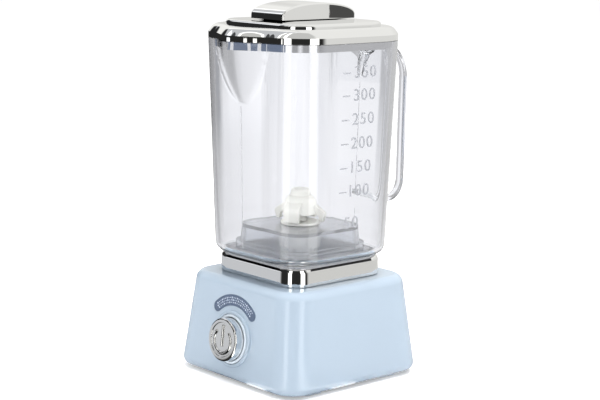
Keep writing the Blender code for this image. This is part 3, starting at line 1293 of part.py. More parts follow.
def make_blade(blade_axis, root):
    seal_top = PLATFORM_TOP_Z + REST_GAP + SEAL_FLANGE_H
    bore = BLADE_SHAFT_R + RUNNING_GAP
    seal_profile = [(bore, seal_top), (SEAL_FLANGE_R, seal_top),
                    (SEAL_FLANGE_R, PLATFORM_TOP_Z + REST_GAP),
                    (SEAL_BODY_R, PLATFORM_TOP_Z + REST_GAP),
                    (SEAL_BODY_R, PLATFORM_TOP_Z - JUG_WALL), (bore, PLATFORM_TOP_Z - JUG_WALL)]
    add_object("shaft_seal", turned_mesh("shaft_seal", seal_profile, SMALL_ROUND_STEPS),
               "ivory", root)
    socket_top = PLATFORM_TOP_Z - JUG_WALL - REST_GAP
    socket = add_object("jug_coupling",
                        cylinder_mesh("jug_coupling", SOCKET_R, SOCKET_FLOOR_Z, socket_top),
                        "ivory", blade_axis)
    web_z = socket_top - SOCKET_WEB
    cavity = plate_mesh("socket_cavity", [star(DOG_MEAN_R + SLIDE_GAP)],
                        SOCKET_FLOOR_Z - OVERRUN, web_z)
    cut(socket, add_tool("socket_cavity", cavity, blade_axis))
    shaft_bore = cylinder_mesh("socket_bore", BLADE_SHAFT_R + FIT_GAP, web_z - OVERRUN,
                               socket_top + OVERRUN)
    cut(socket, add_tool("socket_bore", shaft_bore, blade_axis))
    column_z = seal_top + REST_GAP
    shaft_top = column_z + ROTOR_BORE_DEPTH - REST_GAP
    add_object("blade_shaft",
               cylinder_mesh("blade_shaft", BLADE_SHAFT_R, web_z + FIT_GAP, shaft_top),
               "steel", blade_axis)
    profile = [(0, ROTOR_TOP_Z)]
    profile += arc((ROTOR_CAP_R - ROTOR_EDGE, ROTOR_TOP_Z - ROTOR_EDGE), ROTOR_EDGE, 90, 0, 2)
    profile += bell_points()
    profile += [(ROTOR_COLUMN_R, ROTOR_BELL_Z), (ROTOR_COLUMN_R, column_z), (0, column_z)]
    rotor = add_object("blade_rotor", turned_mesh("blade_rotor", profile), "ivory", blade_axis)
    turn = math.radians(BLADE_TURN_DEG)
    for name, outline, width, spin in (("fins", fin_outline(column_z), FIN_WIDTH, turn),
                                       ("legs", leg_outline(column_z), LEG_WIDTH,
                                        turn + math.pi / 2)):
        mesh = plate_mesh(name, [outline], -width / 2, width / 2)
        mesh.transform(Matrix.Rotation(math.pi / 2, 4, "X"))
        join(rotor, add_tool(name, mesh, blade_axis, (0, 0, 0), (0, 0, spin)))
    rotor_bore = cylinder_mesh("rotor_bore", BLADE_SHAFT_R + FIT_GAP, column_z - OVERRUN,
                               column_z + ROTOR_BORE_DEPTH)
    cut(rotor, add_tool("rotor_bore", rotor_bore, blade_axis))


def bell_points():
    """The hub's side, swelling from the cap down to the bell's rim."""
    points = []
    for i in range(BELL_STEPS + 1):
        share = i / BELL_STEPS
        radius = ROTOR_CAP_R + (ROTOR_BELL_R - ROTOR_CAP_R) * math.sin(math.pi / 2 * share)
        points.append((radius, ROTOR_SHOULDER_Z + (ROTOR_BELL_Z - ROTOR_SHOULDER_Z) * share ** 2))
    return points


def mirrored(side):
    return side + [(-x, z) for x, z in reversed(side)]


def fin_outline(foot_z):
    """The two swept fins as one outline across the hub."""
    heel = FIN_OUT_R - FIN_TOE
    return mirrored([(ROTOR_CAP_R / 2, ROTOR_BELL_Z), (heel - ROTOR_EDGE, ROTOR_BELL_Z),
                     (heel, foot_z), (FIN_OUT_R - ROTOR_EDGE, foot_z),
                     (FIN_OUT_R, FIN_TOP_Z), (FIN_OUT_R - ROTOR_EDGE, FIN_TOP_Z + ROTOR_EDGE),
                     (ROTOR_CAP_R, ROTOR_SHOULDER_Z - ROTOR_EDGE)])


def leg_outline(foot_z):
    """The two broad legs as one outline across the hub."""
    inner = LEG_OUT_R - LEG_THICK
    return mirrored([(ROTOR_CAP_R / 2, ROTOR_BELL_Z), (inner, ROTOR_BELL_Z), (inner, foot_z),
                     (LEG_OUT_R, foot_z), (LEG_OUT_R, LEG_TOP_Z),
                     (ROTOR_CAP_R, ROTOR_SHOULDER_Z - ROTOR_EDGE)])


def inset(level, distance, z):
    """A ring drawn in by a distance square to its own line."""
    count = len(level)
    points = []
    for i in range(count):
        along = level[(i + 1) % count] - level[i - 1]
        inward = Vector((-along.y, along.x, 0)).normalized()
        points.append(Vector((level[i].x, level[i].y, z)) + inward * distance)
    return points


def make_lid(root):
    spout = (SPOUT_HALF_WIDTH, SPOUT_REACH)
    band_low = JUG_RIM_Z + LID_GAP_Z
    band_high = band_low + LID_BAND
    rim = ring(JUG_RIM_HALF, JUG_CORNER, band_low, spout)
    tier_corner_in = LID_TIER_CORNER - LID_TIER_FILLET
    rings = [ring(LID_TIER_HALF / 2, LID_TIER_CORNER / 2, LID_TIER_Z + LID_CROWN)]
    rings += [ring(half, tier_corner_in + half - (LID_TIER_HALF - LID_TIER_FILLET), z)
              for half, z in arc((LID_TIER_HALF - LID_TIER_FILLET, LID_TIER_Z - LID_TIER_FILLET),
                                 LID_TIER_FILLET, 90, 0, 2)]
    rings.append(ring(LID_TIER_HALF, LID_TIER_CORNER, LID_SHOULDER_Z))
    rise = LID_SHOULDER_Z - band_high
    for i in range(SHOULDER_STEPS + 1):
        angle = math.pi / 2 * (1 - i / SHOULDER_STEPS)
        rings.append(inset(rim, LID_SHOULDER_IN * (1 - math.cos(angle)),
                           band_high + rise * math.sin(angle)))
    rings.append(rim)
    mesh = loft_mesh("lid_cover", rings)
    shape = bmesh.new()
    shape.from_mesh(mesh)
    top = [edge for edge in shape.edges if edge.is_boundary
           and edge.verts[0].co.z > LID_TIER_Z]
    bmesh.ops.holes_fill(shape, edges=top)
    shape.to_mesh(mesh)
    shape.free()
    smooth(mesh)
    lid = add_object("lid_cover", mesh, "chrome", root)
    solidify(lid, LID_WALL)
    outer = JUG_WALL + SKIRT_GAP
    top_z = band_high + rise * SKIRT_TOP_SHARE
    mouth = ring(jug_half(SKIRT_BOTTOM_Z), JUG_CORNER, SKIRT_BOTTOM_Z, spout_at(SKIRT_BOTTOM_Z))
    thick = outer + SKIRT_WALL
    skirt = [inset(rim, thick, top_z), inset(rim, outer, top_z), inset(rim, outer, band_low),
             inset(mouth, outer, SKIRT_BOTTOM_Z), inset(mouth, thick, SKIRT_BOTTOM_Z),
             inset(rim, thick, band_low)]
    join(lid, add_tool("lid_skirt", loft_mesh("lid_skirt", skirt, closed=True), root))
    screw_hole = cylinder_mesh("grip_screw_hole", SCREW_SHANK_R + FIT_GAP,
                               LID_TIER_Z - LID_WALL - OVERRUN, LID_TIER_Z + LID_CROWN + OVERRUN,
                               SMALL_ROUND_STEPS)
    for side in (-1, 1):
        cut(lid, add_tool(f"grip_screw_hole_{side}", screw_hole, root, (0, side * GRIP_POST_Y, 0)))
    make_grip(root)


def arch(half_length, end_h, rise, base_h=0.0):
    """The grip's side outline above its base, as (y, height)."""
    points = [(-half_length, base_h), (half_length, base_h)]
    for i in range(GRIP_STEPS + 1):
        angle = math.pi * i / GRIP_STEPS
        points.append((half_length * math.cos(angle),
                       end_h + (rise - end_h) * math.sin(angle) ** GRIP_ROUND_SHARE))
    return points


def grip_solid(name, half_length, half_width, end_h, rise, base_h=0.0):
    """An arch outline given the grip's width, standing on the lid and running along Y."""
    mesh = plate_mesh(name, [arch(half_length, end_h, rise, base_h)], -half_width, half_width)
    mesh.transform(Matrix.Translation((0, 0, GRIP_BASE_Z)) @ Matrix.Rotation(math.pi / 2, 4, "Z")
                   @ Matrix.Rotation(math.pi / 2, 4, "X"))
    return mesh


def make_grip(root):
    rise = GRIP_TOP_Z - GRIP_BASE_Z
    grip = add_object("lid_grip", grip_solid("lid_grip", GRIP_HALF_LENGTH, GRIP_HALF_WIDTH,
                                             GRIP_END_H, rise), "chrome", root)
    bevel(grip, GRIP_BEVEL)
    room = grip_solid("grip_room", GRIP_HALF_LENGTH - GRIP_WALL * 2, GRIP_HALF_WIDTH - GRIP_WALL,
                      GRIP_END_H / 2, rise - GRIP_WALL, -OVERRUN)
    cut(grip, add_tool("grip_room", room, root))
    post = cylinder_mesh("grip_post", GRIP_POST_R, GRIP_BASE_Z, GRIP_TOP_Z - GRIP_WALL,
                         SMALL_ROUND_STEPS)
    bore_top = LID_UNDER_Z + GRIP_SCREW_LENGTH
    bore = cylinder_mesh("grip_bore", SCREW_SHANK_R + FIT_GAP, GRIP_BASE_Z - OVERRUN, bore_top,
                         SMALL_ROUND_STEPS)
    for side in (-1, 1):
        join(grip, add_tool(f"grip_post_{side}", post, root, (0, side * GRIP_POST_Y, 0)))
        cut(grip, add_tool(f"grip_bore_{side}", bore, root, (0, side * GRIP_POST_Y, 0)))
    add_screws("grip_screw", GRIP_SCREW_LENGTH, root,
               [(0, side * GRIP_POST_Y, LID_UNDER_Z - SCREW_HEAD_H - FIT_GAP)
                for side in (-1, 1)])


def main():
    clear_scene()
    root = add_empty("toy", None, (0, BODY_SHIFT_Y, 0))
    jug_frame = add_empty("jug_frame", root)
    lid_frame = add_empty("lid_frame", jug_frame)
    door_frame = add_empty("door_frame", root)
    blade_axis = add_empty("blade_axis", jug_frame)
    button_axis = button_frame(root)
    make_housing(root, button_axis)
    make_base_plate(root)
    make_battery_door(root, door_frame)
    make_battery_box(root)
    make_cells(root)
    make_collar(root)
    make_button(button_axis)
    make_deck(root)
    make_drive(root)
    make_jug(jug_frame)
    make_blade(blade_axis, jug_frame)
    make_lid(lid_frame)
    bpy.context.view_layer.update()


main()
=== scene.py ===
"""Looks for the toy blender: finer shells, plated and clear finishes, marks and studio."""
import math

import bmesh
import bpy
from mathutils import Matrix, Vector


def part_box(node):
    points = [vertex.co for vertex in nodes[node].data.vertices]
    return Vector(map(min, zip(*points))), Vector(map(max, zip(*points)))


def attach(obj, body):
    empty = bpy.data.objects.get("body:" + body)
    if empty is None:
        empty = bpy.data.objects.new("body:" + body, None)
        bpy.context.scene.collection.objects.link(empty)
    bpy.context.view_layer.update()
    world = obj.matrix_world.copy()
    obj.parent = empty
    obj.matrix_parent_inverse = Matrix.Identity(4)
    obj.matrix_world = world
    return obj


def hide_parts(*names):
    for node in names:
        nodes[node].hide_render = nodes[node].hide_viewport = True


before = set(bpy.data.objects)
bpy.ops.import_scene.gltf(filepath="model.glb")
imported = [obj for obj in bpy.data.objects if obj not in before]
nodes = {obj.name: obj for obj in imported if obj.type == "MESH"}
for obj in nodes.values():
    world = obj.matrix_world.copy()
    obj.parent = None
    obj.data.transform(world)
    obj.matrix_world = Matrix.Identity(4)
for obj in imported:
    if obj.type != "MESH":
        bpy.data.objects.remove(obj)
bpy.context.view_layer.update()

# Sizes that several pieces share, measured about the drive shaft, which stands at SHIFT_Y
MM = 0.001
SHIFT_Y = -9.896 * MM
WALL = 2.0 * MM
BASE_TOP_HALF, BASE_TOP_Z = 38.75 * MM, 48.5 * MM
COLLAR_HALF, COLLAR_CORNER, COLLAR_TOP_Z = 29.8 * MM, 10.3 * MM, 58.3 * MM
NECK_HALF, NECK_LOW_Z = 27.5 * MM, 48.8 * MM
JUG_BOTTOM_Z, JUG_RIM_Z = 58.7 * MM, 160.7 * MM
JUG_FOOT_HALF, JUG_RIM_HALF, JUG_CORNER = 35.5 * MM, 38.4 * MM, 23.0 * MM
BUTTON_Z, SLOPE = 21.3 * MM, math.radians(6.228)
BUTTON_FACE_Y = -41.739 * MM
FACE_PLACE = (Matrix.Translation((0, BUTTON_FACE_Y, BUTTON_Z))
              @ Matrix.Rotation(math.pi / 2 - SLOPE, 4, "X"))
BUTTON_TOP = 6.3 * MM
SEAL_TOP_Z = 73.4 * MM

# Distances at which points are one, and at which a point counts as on a level
SAME_PLACE, ON_LEVEL = 1e-6, 2e-5


# Modelling by hand

def clear_choice():
    """Leaves edit mode and deselects everything, so that the next operator starts clean."""
    if bpy.context.object and bpy.context.object.mode != "OBJECT":
        bpy.ops.object.mode_set(mode="OBJECT")
    bpy.ops.object.select_all(action="DESELECT")


def pick(piece):
    """Makes a piece the one in hand: the only one selected, and the active one."""
    clear_choice()
    piece.select_set(True)
    bpy.context.view_layer.objects.active = piece


def apply_place(piece):
    """Puts a piece's place, turn and scale into its mesh."""
    pick(piece)
    bpy.ops.object.transform_apply(location=True, rotation=True, scale=True)


def edit(piece, mode="FACE"):
    """Opens a piece in edit mode with nothing selected."""
    pick(piece)
    bpy.ops.object.mode_set(mode="EDIT")
    bpy.ops.mesh.select_mode(type=mode)
    bpy.ops.mesh.select_all(action="DESELECT")


def choose(piece, test, kind="faces"):
    """Selects the faces, edges or points of the piece in hand that pass a test."""
    shape = bmesh.from_edit_mesh(piece.data)
    for item in shape.faces[:] + shape.edges[:] + shape.verts[:]:
        item.select_set(False)
    for item in getattr(shape, kind):
        if test(item):
            item.select_set(True)
    shape.select_flush_mode()
    bmesh.update_edit_mesh(piece.data)


def leave():
    """Goes back to object mode."""
    bpy.ops.object.mode_set(mode="OBJECT")


def flat_at(z):
    """A test for faces and edges that lie flat at a height."""
    return lambda item: all(abs(v.co.z - z) < ON_LEVEL for v in item.verts)


def modify(piece, kind, **values):
    """Adds a modifier with the given settings and applies it."""
    pick(piece)
    step = piece.modifiers.new(kind.lower(), kind)
    for key, value in values.items():
        setattr(step, key, value)
    bpy.ops.object.modifier_apply(modifier=step.name)


def combine(piece, tool, operation):
    """Adds a tool piece to a piece or cuts it out, and uses it up."""
    modify(piece, "BOOLEAN", operation=operation, solver="EXACT", object=tool)
    bpy.data.objects.remove(tool, do_unlink=True)


def soften(piece, degrees=32):
    """Smooth shading, with edges sharper than an angle kept crisp."""
    pick(piece)
    bpy.ops.object.shade_smooth_by_angle(angle=math.radians(degrees), keep_sharp_edges=False)
    modify(piece, "WEIGHTED_NORMAL", keep_sharp=True, weight=60)


def tidy_normals(piece):
    """Merges points that meet and turns all faces outwards."""
    edit(piece)
    bpy.ops.mesh.select_all(action="SELECT")
    bpy.ops.mesh.remove_doubles(threshold=SAME_PLACE)
    bpy.ops.mesh.normals_make_consistent(inside=False)
    leave()


def square(name, half, corner, z, segments):
    """A square outline with round corners, as one face."""
    clear_choice()
    bpy.ops.mesh.primitive_plane_add(size=2, location=(0, 0, z))
    piece = bpy.context.object
    piece.name = name
    piece.scale = (half, half, 1)
    apply_place(piece)
    edit(piece, "VERT")
    bpy.ops.mesh.select_all(action="SELECT")
    bpy.ops.mesh.bevel(offset=corner, offset_type="OFFSET", segments=segments,
                       affect="VERTICES", profile=0.5)
    leave()
    return piece


def join_all(made, name):
    """Joins pieces into the first one, which gets the name."""
    pick(made[0])
    for piece in made[1:]:
        piece.select_set(True)
    bpy.ops.object.join()
    made[0].name = name
    return made[0]


def thicken(piece, way):
    """Gives a flat sheet a thickness, and so makes it a solid."""
    edit(piece)
    bpy.ops.mesh.select_all(action="SELECT")
    bpy.ops.mesh.extrude_region_move(TRANSFORM_OT_translate={"value": way})
    leave()
    tidy_normals(piece)


def raise_face(height, grow=None):
    """Extrudes what is selected, and then makes it wider or narrower."""
    bpy.ops.mesh.extrude_region_move(TRANSFORM_OT_translate={"value": (0, 0, height)})
    if grow is not None:
        bpy.ops.transform.resize(value=(grow, grow, 1), center_override=(0, 0, 0))


def tapered_block(name, low_half, low_z, top_half, top_z, corner, segments):
    """A block with sloping sides and one corner radius all the way up."""
    clear_choice()
    bpy.ops.mesh.primitive_cube_add(size=2, location=(0, 0, (low_z + top_z) / 2))
    piece = bpy.context.object
    piece.name = name
    piece.scale = (low_half, low_half, (top_z - low_z) / 2)
    apply_place(piece)
    edit(piece)
    choose(piece, flat_at(top_z))
    bpy.ops.transform.resize(value=(top_half / low_half, top_half / low_half, 1),
                             center_override=(0, 0, 0))
    choose(piece, lambda e: abs(e.verts[0].co.z - e.verts[1].co.z) > MM, "edges")
    bpy.ops.mesh.bevel(offset=corner, offset_type="OFFSET", segments=segments, affect="EDGES",
                       profile=0.5)
    leave()
    return piece


def round_edges(piece, test, offset, segments, clamp=False):
    """Rounds the edges of a piece that pass a test."""
    edit(piece, "EDGE")
    choose(piece, test, "edges")
    bpy.ops.mesh.bevel(offset=offset, offset_type="OFFSET", segments=segments, affect="EDGES",
                       profile=0.5, clamp_overlap=clamp)
    leave()


def rod(name, radius, low_z, top_z, sides=64, at=(0, 0)):
    """An upright round bar."""
    clear_choice()
    bpy.ops.mesh.primitive_cylinder_add(vertices=sides, radius=radius, depth=top_z - low_z,
                                        location=(at[0], at[1], (low_z + top_z) / 2))
    piece = bpy.context.object
    piece.name = name
    apply_place(piece)
    return piece


def block(name, low, high):
    """A box between two corners."""
    clear_choice()
    low, high = Vector(low), Vector(high)
    bpy.ops.mesh.primitive_cube_add(size=1, location=(low + high) / 2)
    piece = bpy.context.object
    piece.name = name
    piece.scale = high - low
    apply_place(piece)
    return piece


def turned(name, profile, sides=64):
    """A profile of (radius, z) points, from its top down the outside, spun about Z."""
    clear_choice()
    bpy.ops.mesh.primitive_plane_add(size=MM)
    piece = bpy.context.object
    piece.name = name
    edit(piece, "VERT")
    shape = bmesh.from_edit_mesh(piece.data)
    bmesh.ops.delete(shape, geom=shape.verts[:], context="VERTS")
    points = [shape.verts.new((r, 0, z)) for r, z in profile]
    for upper, lower in zip(points, points[1:]):
        shape.edges.new((upper, lower))
    if profile[0][0] > 0:
        shape.edges.new((points[-1], points[0]))
    bmesh.update_edit_mesh(piece.data)
    bpy.ops.mesh.select_all(action="SELECT")
    bpy.ops.mesh.spin(steps=sides, angle=math.tau, center=(0, 0, 0), axis=(0, 0, 1))
    leave()
    tidy_normals(piece)
    return piece


def arc_points(r, z, radius, start_deg, end_deg, steps=6):
    """Points along an arc about a centre, for a profile or an outline."""
    turns = [math.radians(start_deg + (end_deg - start_deg) * i / steps)
             for i in range(steps + 1)]
    return [(r + radius * math.cos(turn), z + radius * math.sin(turn)) for turn in turns]


def smooth_copy(node):
    """The node's own mesh, merged and shaded smooth, to stand for it."""
    mesh = nodes[node].data.copy()
    piece = bpy.data.objects.new(f"{node}_fine", mesh)
    piece.matrix_world = nodes[node].matrix_world.copy()
    bpy.context.scene.collection.objects.link(piece)
    mesh.materials.clear()
    edit(piece)
    bpy.ops.mesh.select_all(action="SELECT")
    bpy.ops.mesh.remove_doubles(threshold=SAME_PLACE)
    bpy.ops.mesh.dissolve_limited(angle_limit=math.radians(0.3))
    leave()
    soften(piece, 35)
    return piece


def to_toy(piece):
    """Moves a piece made about the drive shaft to its place."""
    piece.location.y += SHIFT_Y
    apply_place(piece)


def to_face(piece):
    """Moves a piece made about the button's own axis to the sloping front."""
    piece.matrix_world = FACE_PLACE
    apply_place(piece)
    to_toy(piece)


def dress(piece, look, slot, body, *replaced):
    """Gives a piece its finish and body, and hides the nodes that it stands for."""
    piece.data.materials.clear()
    piece.data.materials.append(look)
    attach(piece, body)
    if replaced:
        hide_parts(*replaced)


# Finishes

def add_node(tree, kind, **inputs):
    """A new node whose inputs are linked to sockets or set to values."""
    made = tree.nodes.new(kind)
    for key, value in inputs.items():
        name = key.replace("_", " ")
        if isinstance(value, bpy.types.NodeSocket):
            tree.links.new(value, made.inputs[name])
        else:
            made.inputs[name].default_value = value
    return made


def calc(tree, kind, a, b=0.0):
    """A Math node's result, from sockets or numbers."""
    made = tree.nodes.new("ShaderNodeMath")
    made.operation = kind
    for i, value in enumerate((a, b)):
        if isinstance(value, bpy.types.NodeSocket):
            tree.links.new(value, made.inputs[i])
        else:
            made.inputs[i].default_value = value
    return made.outputs[0]


def group_node(tree, group):
    """A node that holds one of the shared groups."""
    made = tree.nodes.new("ShaderNodeGroup")
    made.node_tree = group
    return made


def surface_change_group():
    """Slow change of shade and gloss, and a fine grain, over a moulded or plated skin."""
    group = bpy.data.node_groups.new("surface_change", "ShaderNodeTree")
    for name, kind in (("Color", "NodeSocketColor"), ("Shade Change", "NodeSocketFloat"),
                       ("Smooth", "NodeSocketFloat"), ("Rough", "NodeSocketFloat"),
                       ("Patch Scale", "NodeSocketFloat"), ("Grain Scale", "NodeSocketFloat")):
        group.interface.new_socket(name, in_out="INPUT", socket_type=kind)
    for name, kind in (("Color", "NodeSocketColor"), ("Roughness", "NodeSocketFloat"),
                       ("Height", "NodeSocketFloat")):
        group.interface.new_socket(name, in_out="OUTPUT", socket_type=kind)
    given = group.nodes.new("NodeGroupInput")
    out = group.nodes.new("NodeGroupOutput")
    place = group.nodes.new("ShaderNodeTexCoord").outputs["Object"]
    patches = add_node(group, "ShaderNodeTexNoise", Vector=place,
                       Scale=given.outputs["Patch Scale"], Detail=3.0, Roughness=0.55)
    grain = add_node(group, "ShaderNodeTexNoise", Vector=place,
                     Scale=given.outputs["Grain Scale"], Detail=2.0, Roughness=0.6)
    gloss = group.nodes.new("ShaderNodeMapRange")
    gloss.inputs["From Min"].default_value = 0.3
    gloss.inputs["From Max"].default_value = 0.7
    group.links.new(patches.outputs["Fac"], gloss.inputs["Value"])
    group.links.new(given.outputs["Smooth"], gloss.inputs["To Min"])
    group.links.new(given.outputs["Rough"], gloss.inputs["To Max"])
    darker = group.nodes.new("ShaderNodeMix")
    darker.data_type = "RGBA"
    darker.blend_type = "MULTIPLY"
    shade = calc(group, "MULTIPLY", patches.outputs["Fac"], given.outputs["Shade Change"])
    group.links.new(shade, darker.inputs["Factor"])
    group.links.new(given.outputs["Color"], darker.inputs["A"])
    darker.inputs["B"].default_value = (0.55, 0.55, 0.58, 1)
    group.links.new(darker.outputs["Result"], out.inputs["Color"])
    group.links.new(gloss.outputs["Result"], out.inputs["Roughness"])
    group.links.new(grain.outputs["Fac"], out.inputs["Height"])
    return group


def hairline_group():
    """Fine straight rubs left by handling, as a mask."""
    group = bpy.data.node_groups.new("hairline_rubs", "ShaderNodeTree")
    group.interface.new_socket("Scale", in_out="INPUT", socket_type="NodeSocketFloat")
    group.interface.new_socket("Amount", in_out="INPUT", socket_type="NodeSocketFloat")
    group.interface.new_socket("Mask", in_out="OUTPUT", socket_type="NodeSocketFloat")
    given = group.nodes.new("NodeGroupInput")
    out = group.nodes.new("NodeGroupOutput")
    place = group.nodes.new("ShaderNodeTexCoord").outputs["Object"]
    turn = add_node(group, "ShaderNodeMapping", Vector=place, Rotation=(0.4, 0.7, 0.5),
                    Scale=(1, 18, 1))
    lines = add_node(group, "ShaderNodeTexNoise", Vector=turn.outputs["Vector"],
                     Scale=given.outputs["Scale"], Detail=4.0, Roughness=0.7)
    keep = group.nodes.new("ShaderNodeMapRange")
    keep.inputs["From Min"].default_value = 0.62
    keep.inputs["From Max"].default_value = 0.80
    group.links.new(lines.outputs["Fac"], keep.inputs["Value"])
    mask = calc(group, "MULTIPLY", keep.outputs["Result"], given.outputs["Amount"])
    group.links.new(mask, out.inputs["Mask"])
    return group


SURFACE_CHANGE = surface_change_group()
HAIRLINES = hairline_group()
RUB_SCALE, GRAIN_DEPTH = 140.0, 0.1 * MM


def finish(name, colour, smooth, rough, change, patch, grain, bump, rubs=0.0, **sockets):
    """A Principled material whose shade, gloss and grain come from the groups."""
    made = bpy.data.materials.new(name)
    made.use_nodes = True
    tree = made.node_tree
    shader = tree.nodes["Principled BSDF"]
    change_node = group_node(tree, SURFACE_CHANGE)
    for key, value in (("Color", (*colour, 1)), ("Shade Change", change), ("Smooth", smooth),
                       ("Rough", rough), ("Patch Scale", patch), ("Grain Scale", grain)):
        change_node.inputs[key].default_value = value
    tree.links.new(change_node.outputs["Color"], shader.inputs["Base Color"])
    roughness = change_node.outputs["Roughness"]
    if rubs:
        rub = group_node(tree, HAIRLINES)
        rub.inputs["Scale"].default_value = RUB_SCALE
        rub.inputs["Amount"].default_value = rubs
        roughness = calc(tree, "ADD", roughness, rub.outputs["Mask"])
    tree.links.new(roughness, shader.inputs["Roughness"])
    relief = tree.nodes.new("ShaderNodeBump")
    relief.inputs["Strength"].default_value = bump
    relief.inputs["Distance"].default_value = GRAIN_DEPTH
    tree.links.new(change_node.outputs["Height"], relief.inputs["Height"])
    tree.links.new(relief.outputs["Normal"], shader.inputs["Normal"])
    for key, value in sockets.items():
        shader.inputs[key.replace("_", " ")].default_value = value
    return made


# Each finish gives its colour, its lowest and highest roughness, how much its shade changes,
# the scales of its patches and of its grain, and the strength of the grain
pale_blue = finish("pale_blue_gloss", (0.378, 0.456, 0.540), 0.10, 0.17, 0.04, 45, 1400, 0.05,
                   rubs=0.05, Coat_Weight=0.25, Coat_Roughness=0.06)
plate_blue = finish("plate_blue_satin", (0.378, 0.456, 0.540), 0.30, 0.42, 0.06, 60, 2200, 0.15)
plated = finish("chrome_plating", (0.86, 0.86, 0.86), 0.0, 0.02, 0.02, 30, 900, 0.004,
                rubs=0.03, Metallic=1.0)
# Painted shade: a near-black copy of the plating, standing for the dark that the collar's rounded
# top edge reflects
shaded = finish("chrome_painted_shade", (0.03, 0.03, 0.033), 0.03, 0.06, 0.02, 30, 900, 0.006,
                rubs=0.02, Metallic=1.0)
clear = finish("clear_moulding", (0.975, 0.978, 0.988), 0.0, 0.02, 0.01, 40, 500, 0.01,
               Transmission_Weight=1.0, IOR=1.49)
hazy = finish("hazy_moulding", (0.95, 0.965, 0.995), 0.12, 0.20, 0.03, 60, 900, 0.03,
              Transmission_Weight=0.87, IOR=1.49)
milky = finish("milky_root", (0.93, 0.94, 0.96), 0.30, 0.40, 0.03, 60, 900, 0.03,
               Transmission_Weight=0.55, IOR=1.49)
frosted = finish("frosted_marks", (0.36, 0.37, 0.40), 0.45, 0.6, 0.04, 200, 3000, 0.2)
line_marks = finish("moulded_lines", (0.80, 0.81, 0.84), 0.12, 0.2, 0.02, 200, 3000, 0.05,
                    Transmission_Weight=0.6, IOR=1.49)
ivory = finish("ivory_moulding", (0.79, 0.79, 0.745), 0.30, 0.42, 0.05, 120, 2600, 0.12,
               Transmission_Weight=0.15, IOR=1.49)
natural = finish("natural_moulding", (0.86, 0.86, 0.835), 0.34, 0.46, 0.05, 120, 2600, 0.12,
                 Transmission_Weight=0.20, IOR=1.49)
slate = finish("slate_badge", (0.09, 0.125, 0.195), 0.30, 0.42, 0.08, 150, 2600, 0.12)
pearl = finish("pearl_dots", (0.50, 0.57, 0.68), 0.22, 0.32, 0.04, 200, 2600, 0.05)
light_ring = finish("light_ring", (0.60, 0.67, 0.74), 0.22, 0.32, 0.03, 120, 2600, 0.08)
rubber = finish("foot_rubber", (0.70, 0.78, 0.86), 0.62, 0.80, 0.08, 150, 3200, 0.4)
steel = finish("bright_steel", (0.60, 0.60, 0.60), 0.18, 0.34, 0.08, 220, 2600, 0.1,
               rubs=0.15, Metallic=1.0)
brass = finish("turned_brass", (0.78, 0.58, 0.28), 0.20, 0.34, 0.08, 220, 2600, 0.1,
               rubs=0.12, Metallic=1.0)
white_part = finish("white_moulding", (0.80, 0.80, 0.78), 0.32, 0.45, 0.05, 120, 2600, 0.12)
black_part = finish("black_moulding", (0.025, 0.025, 0.027), 0.42, 0.58, 0.2, 120, 2600, 0.2)
laminate = finish("board_laminate", (0.03, 0.20, 0.09), 0.30, 0.45, 0.25, 300, 3000, 0.1)
sleeve = finish("cell_sleeve", (0.06, 0.08, 0.12), 0.22, 0.34, 0.15, 150, 2000, 0.05)


# Base

def make_base_shell():
    """Tapered housing with round edges, a wall, the button's boss and the top opening."""
    low_half, low_z, open_z, corner = 43.905 * MM, 1.47 * MM, 1.8 * MM, 12.8 * MM
    shell = tapered_block("base_shell", low_half, low_z, BASE_TOP_HALF + 0.025 * MM,
                          BASE_TOP_Z, corner, 18)
    round_edges(shell, flat_at(BASE_TOP_Z), 3.86 * MM, 10)
    round_edges(shell, flat_at(low_z), 3.9 * MM, 10)
    edit(shell)
    choose(shell, flat_at(low_z))
    bpy.ops.mesh.delete(type="FACE")
    bpy.ops.mesh.select_all(action="SELECT")
    bpy.ops.mesh.bisect(plane_co=(0, 0, open_z), plane_no=(0, 0, 1), clear_inner=True)
    leave()
    modify(shell, "SOLIDIFY", thickness=WALL, offset=-1, use_even_offset=True)
    boss = turned("boss", [(0, 1.2 * MM)] + arc_points(12.6 * MM, 0.4 * MM, 0.8 * MM, 90, 0)
                  + [(13.4 * MM, -1.0 * MM), (0, -1.0 * MM)], 72)
    hole = rod("button_hole", 10.55 * MM, -4 * MM, 3 * MM, 72)
    seat = rod("bezel_seat", 11.95 * MM, 0, 3 * MM, 72)
    for tool in (boss, hole, seat):
        tool.matrix_world = FACE_PLACE
        apply_place(tool)
    combine(shell, boss, "UNION")
    combine(shell, hole, "DIFFERENCE")
    combine(shell, seat, "DIFFERENCE")
    combine(shell, rod("shaft_hole", 4.1 * MM, 44 * MM, 50 * MM), "DIFFERENCE")
    soften(shell, 30)
    to_toy(shell)
    dress(shell, pale_blue, "blue_plastic", "base", "base_housing")


def make_collar():
    """Plated ring round the jug's neck, with painted shade on the flats of its rounded top edge."""
    room_half = NECK_HALF + 0.3 * MM
    collar = tapered_block("collar_plating", COLLAR_HALF, NECK_LOW_Z, COLLAR_HALF,
                           COLLAR_TOP_Z, COLLAR_CORNER, 18)
    round_edges(collar, flat_at(COLLAR_TOP_Z), 3.0 * MM, 8)
    room = tapered_block("collar_room", room_half, 40 * MM, room_half, 60 * MM, 8.3 * MM, 18)
    combine(collar, room, "DIFFERENCE")
    soften(collar, 30)
    to_toy(collar)
    dress(collar, plated, "chrome_plating", "base", "jug_collar")
    # Painted shade: the sloping faces of the top edge along the flats, away from the corners, take
    # the near-black plating
    collar.data.materials.append(shaded)
    for face in collar.data.polygons:
        spot, upward = face.center, abs(face.normal.z)
        flank = min(abs(spot.x), abs(spot.y - SHIFT_Y)) < COLLAR_HALF - COLLAR_CORNER
        if flank and 0.08 < upward < 0.62 and spot.z > COLLAR_TOP_Z - 2.3 * MM:
            face.material_index = 1


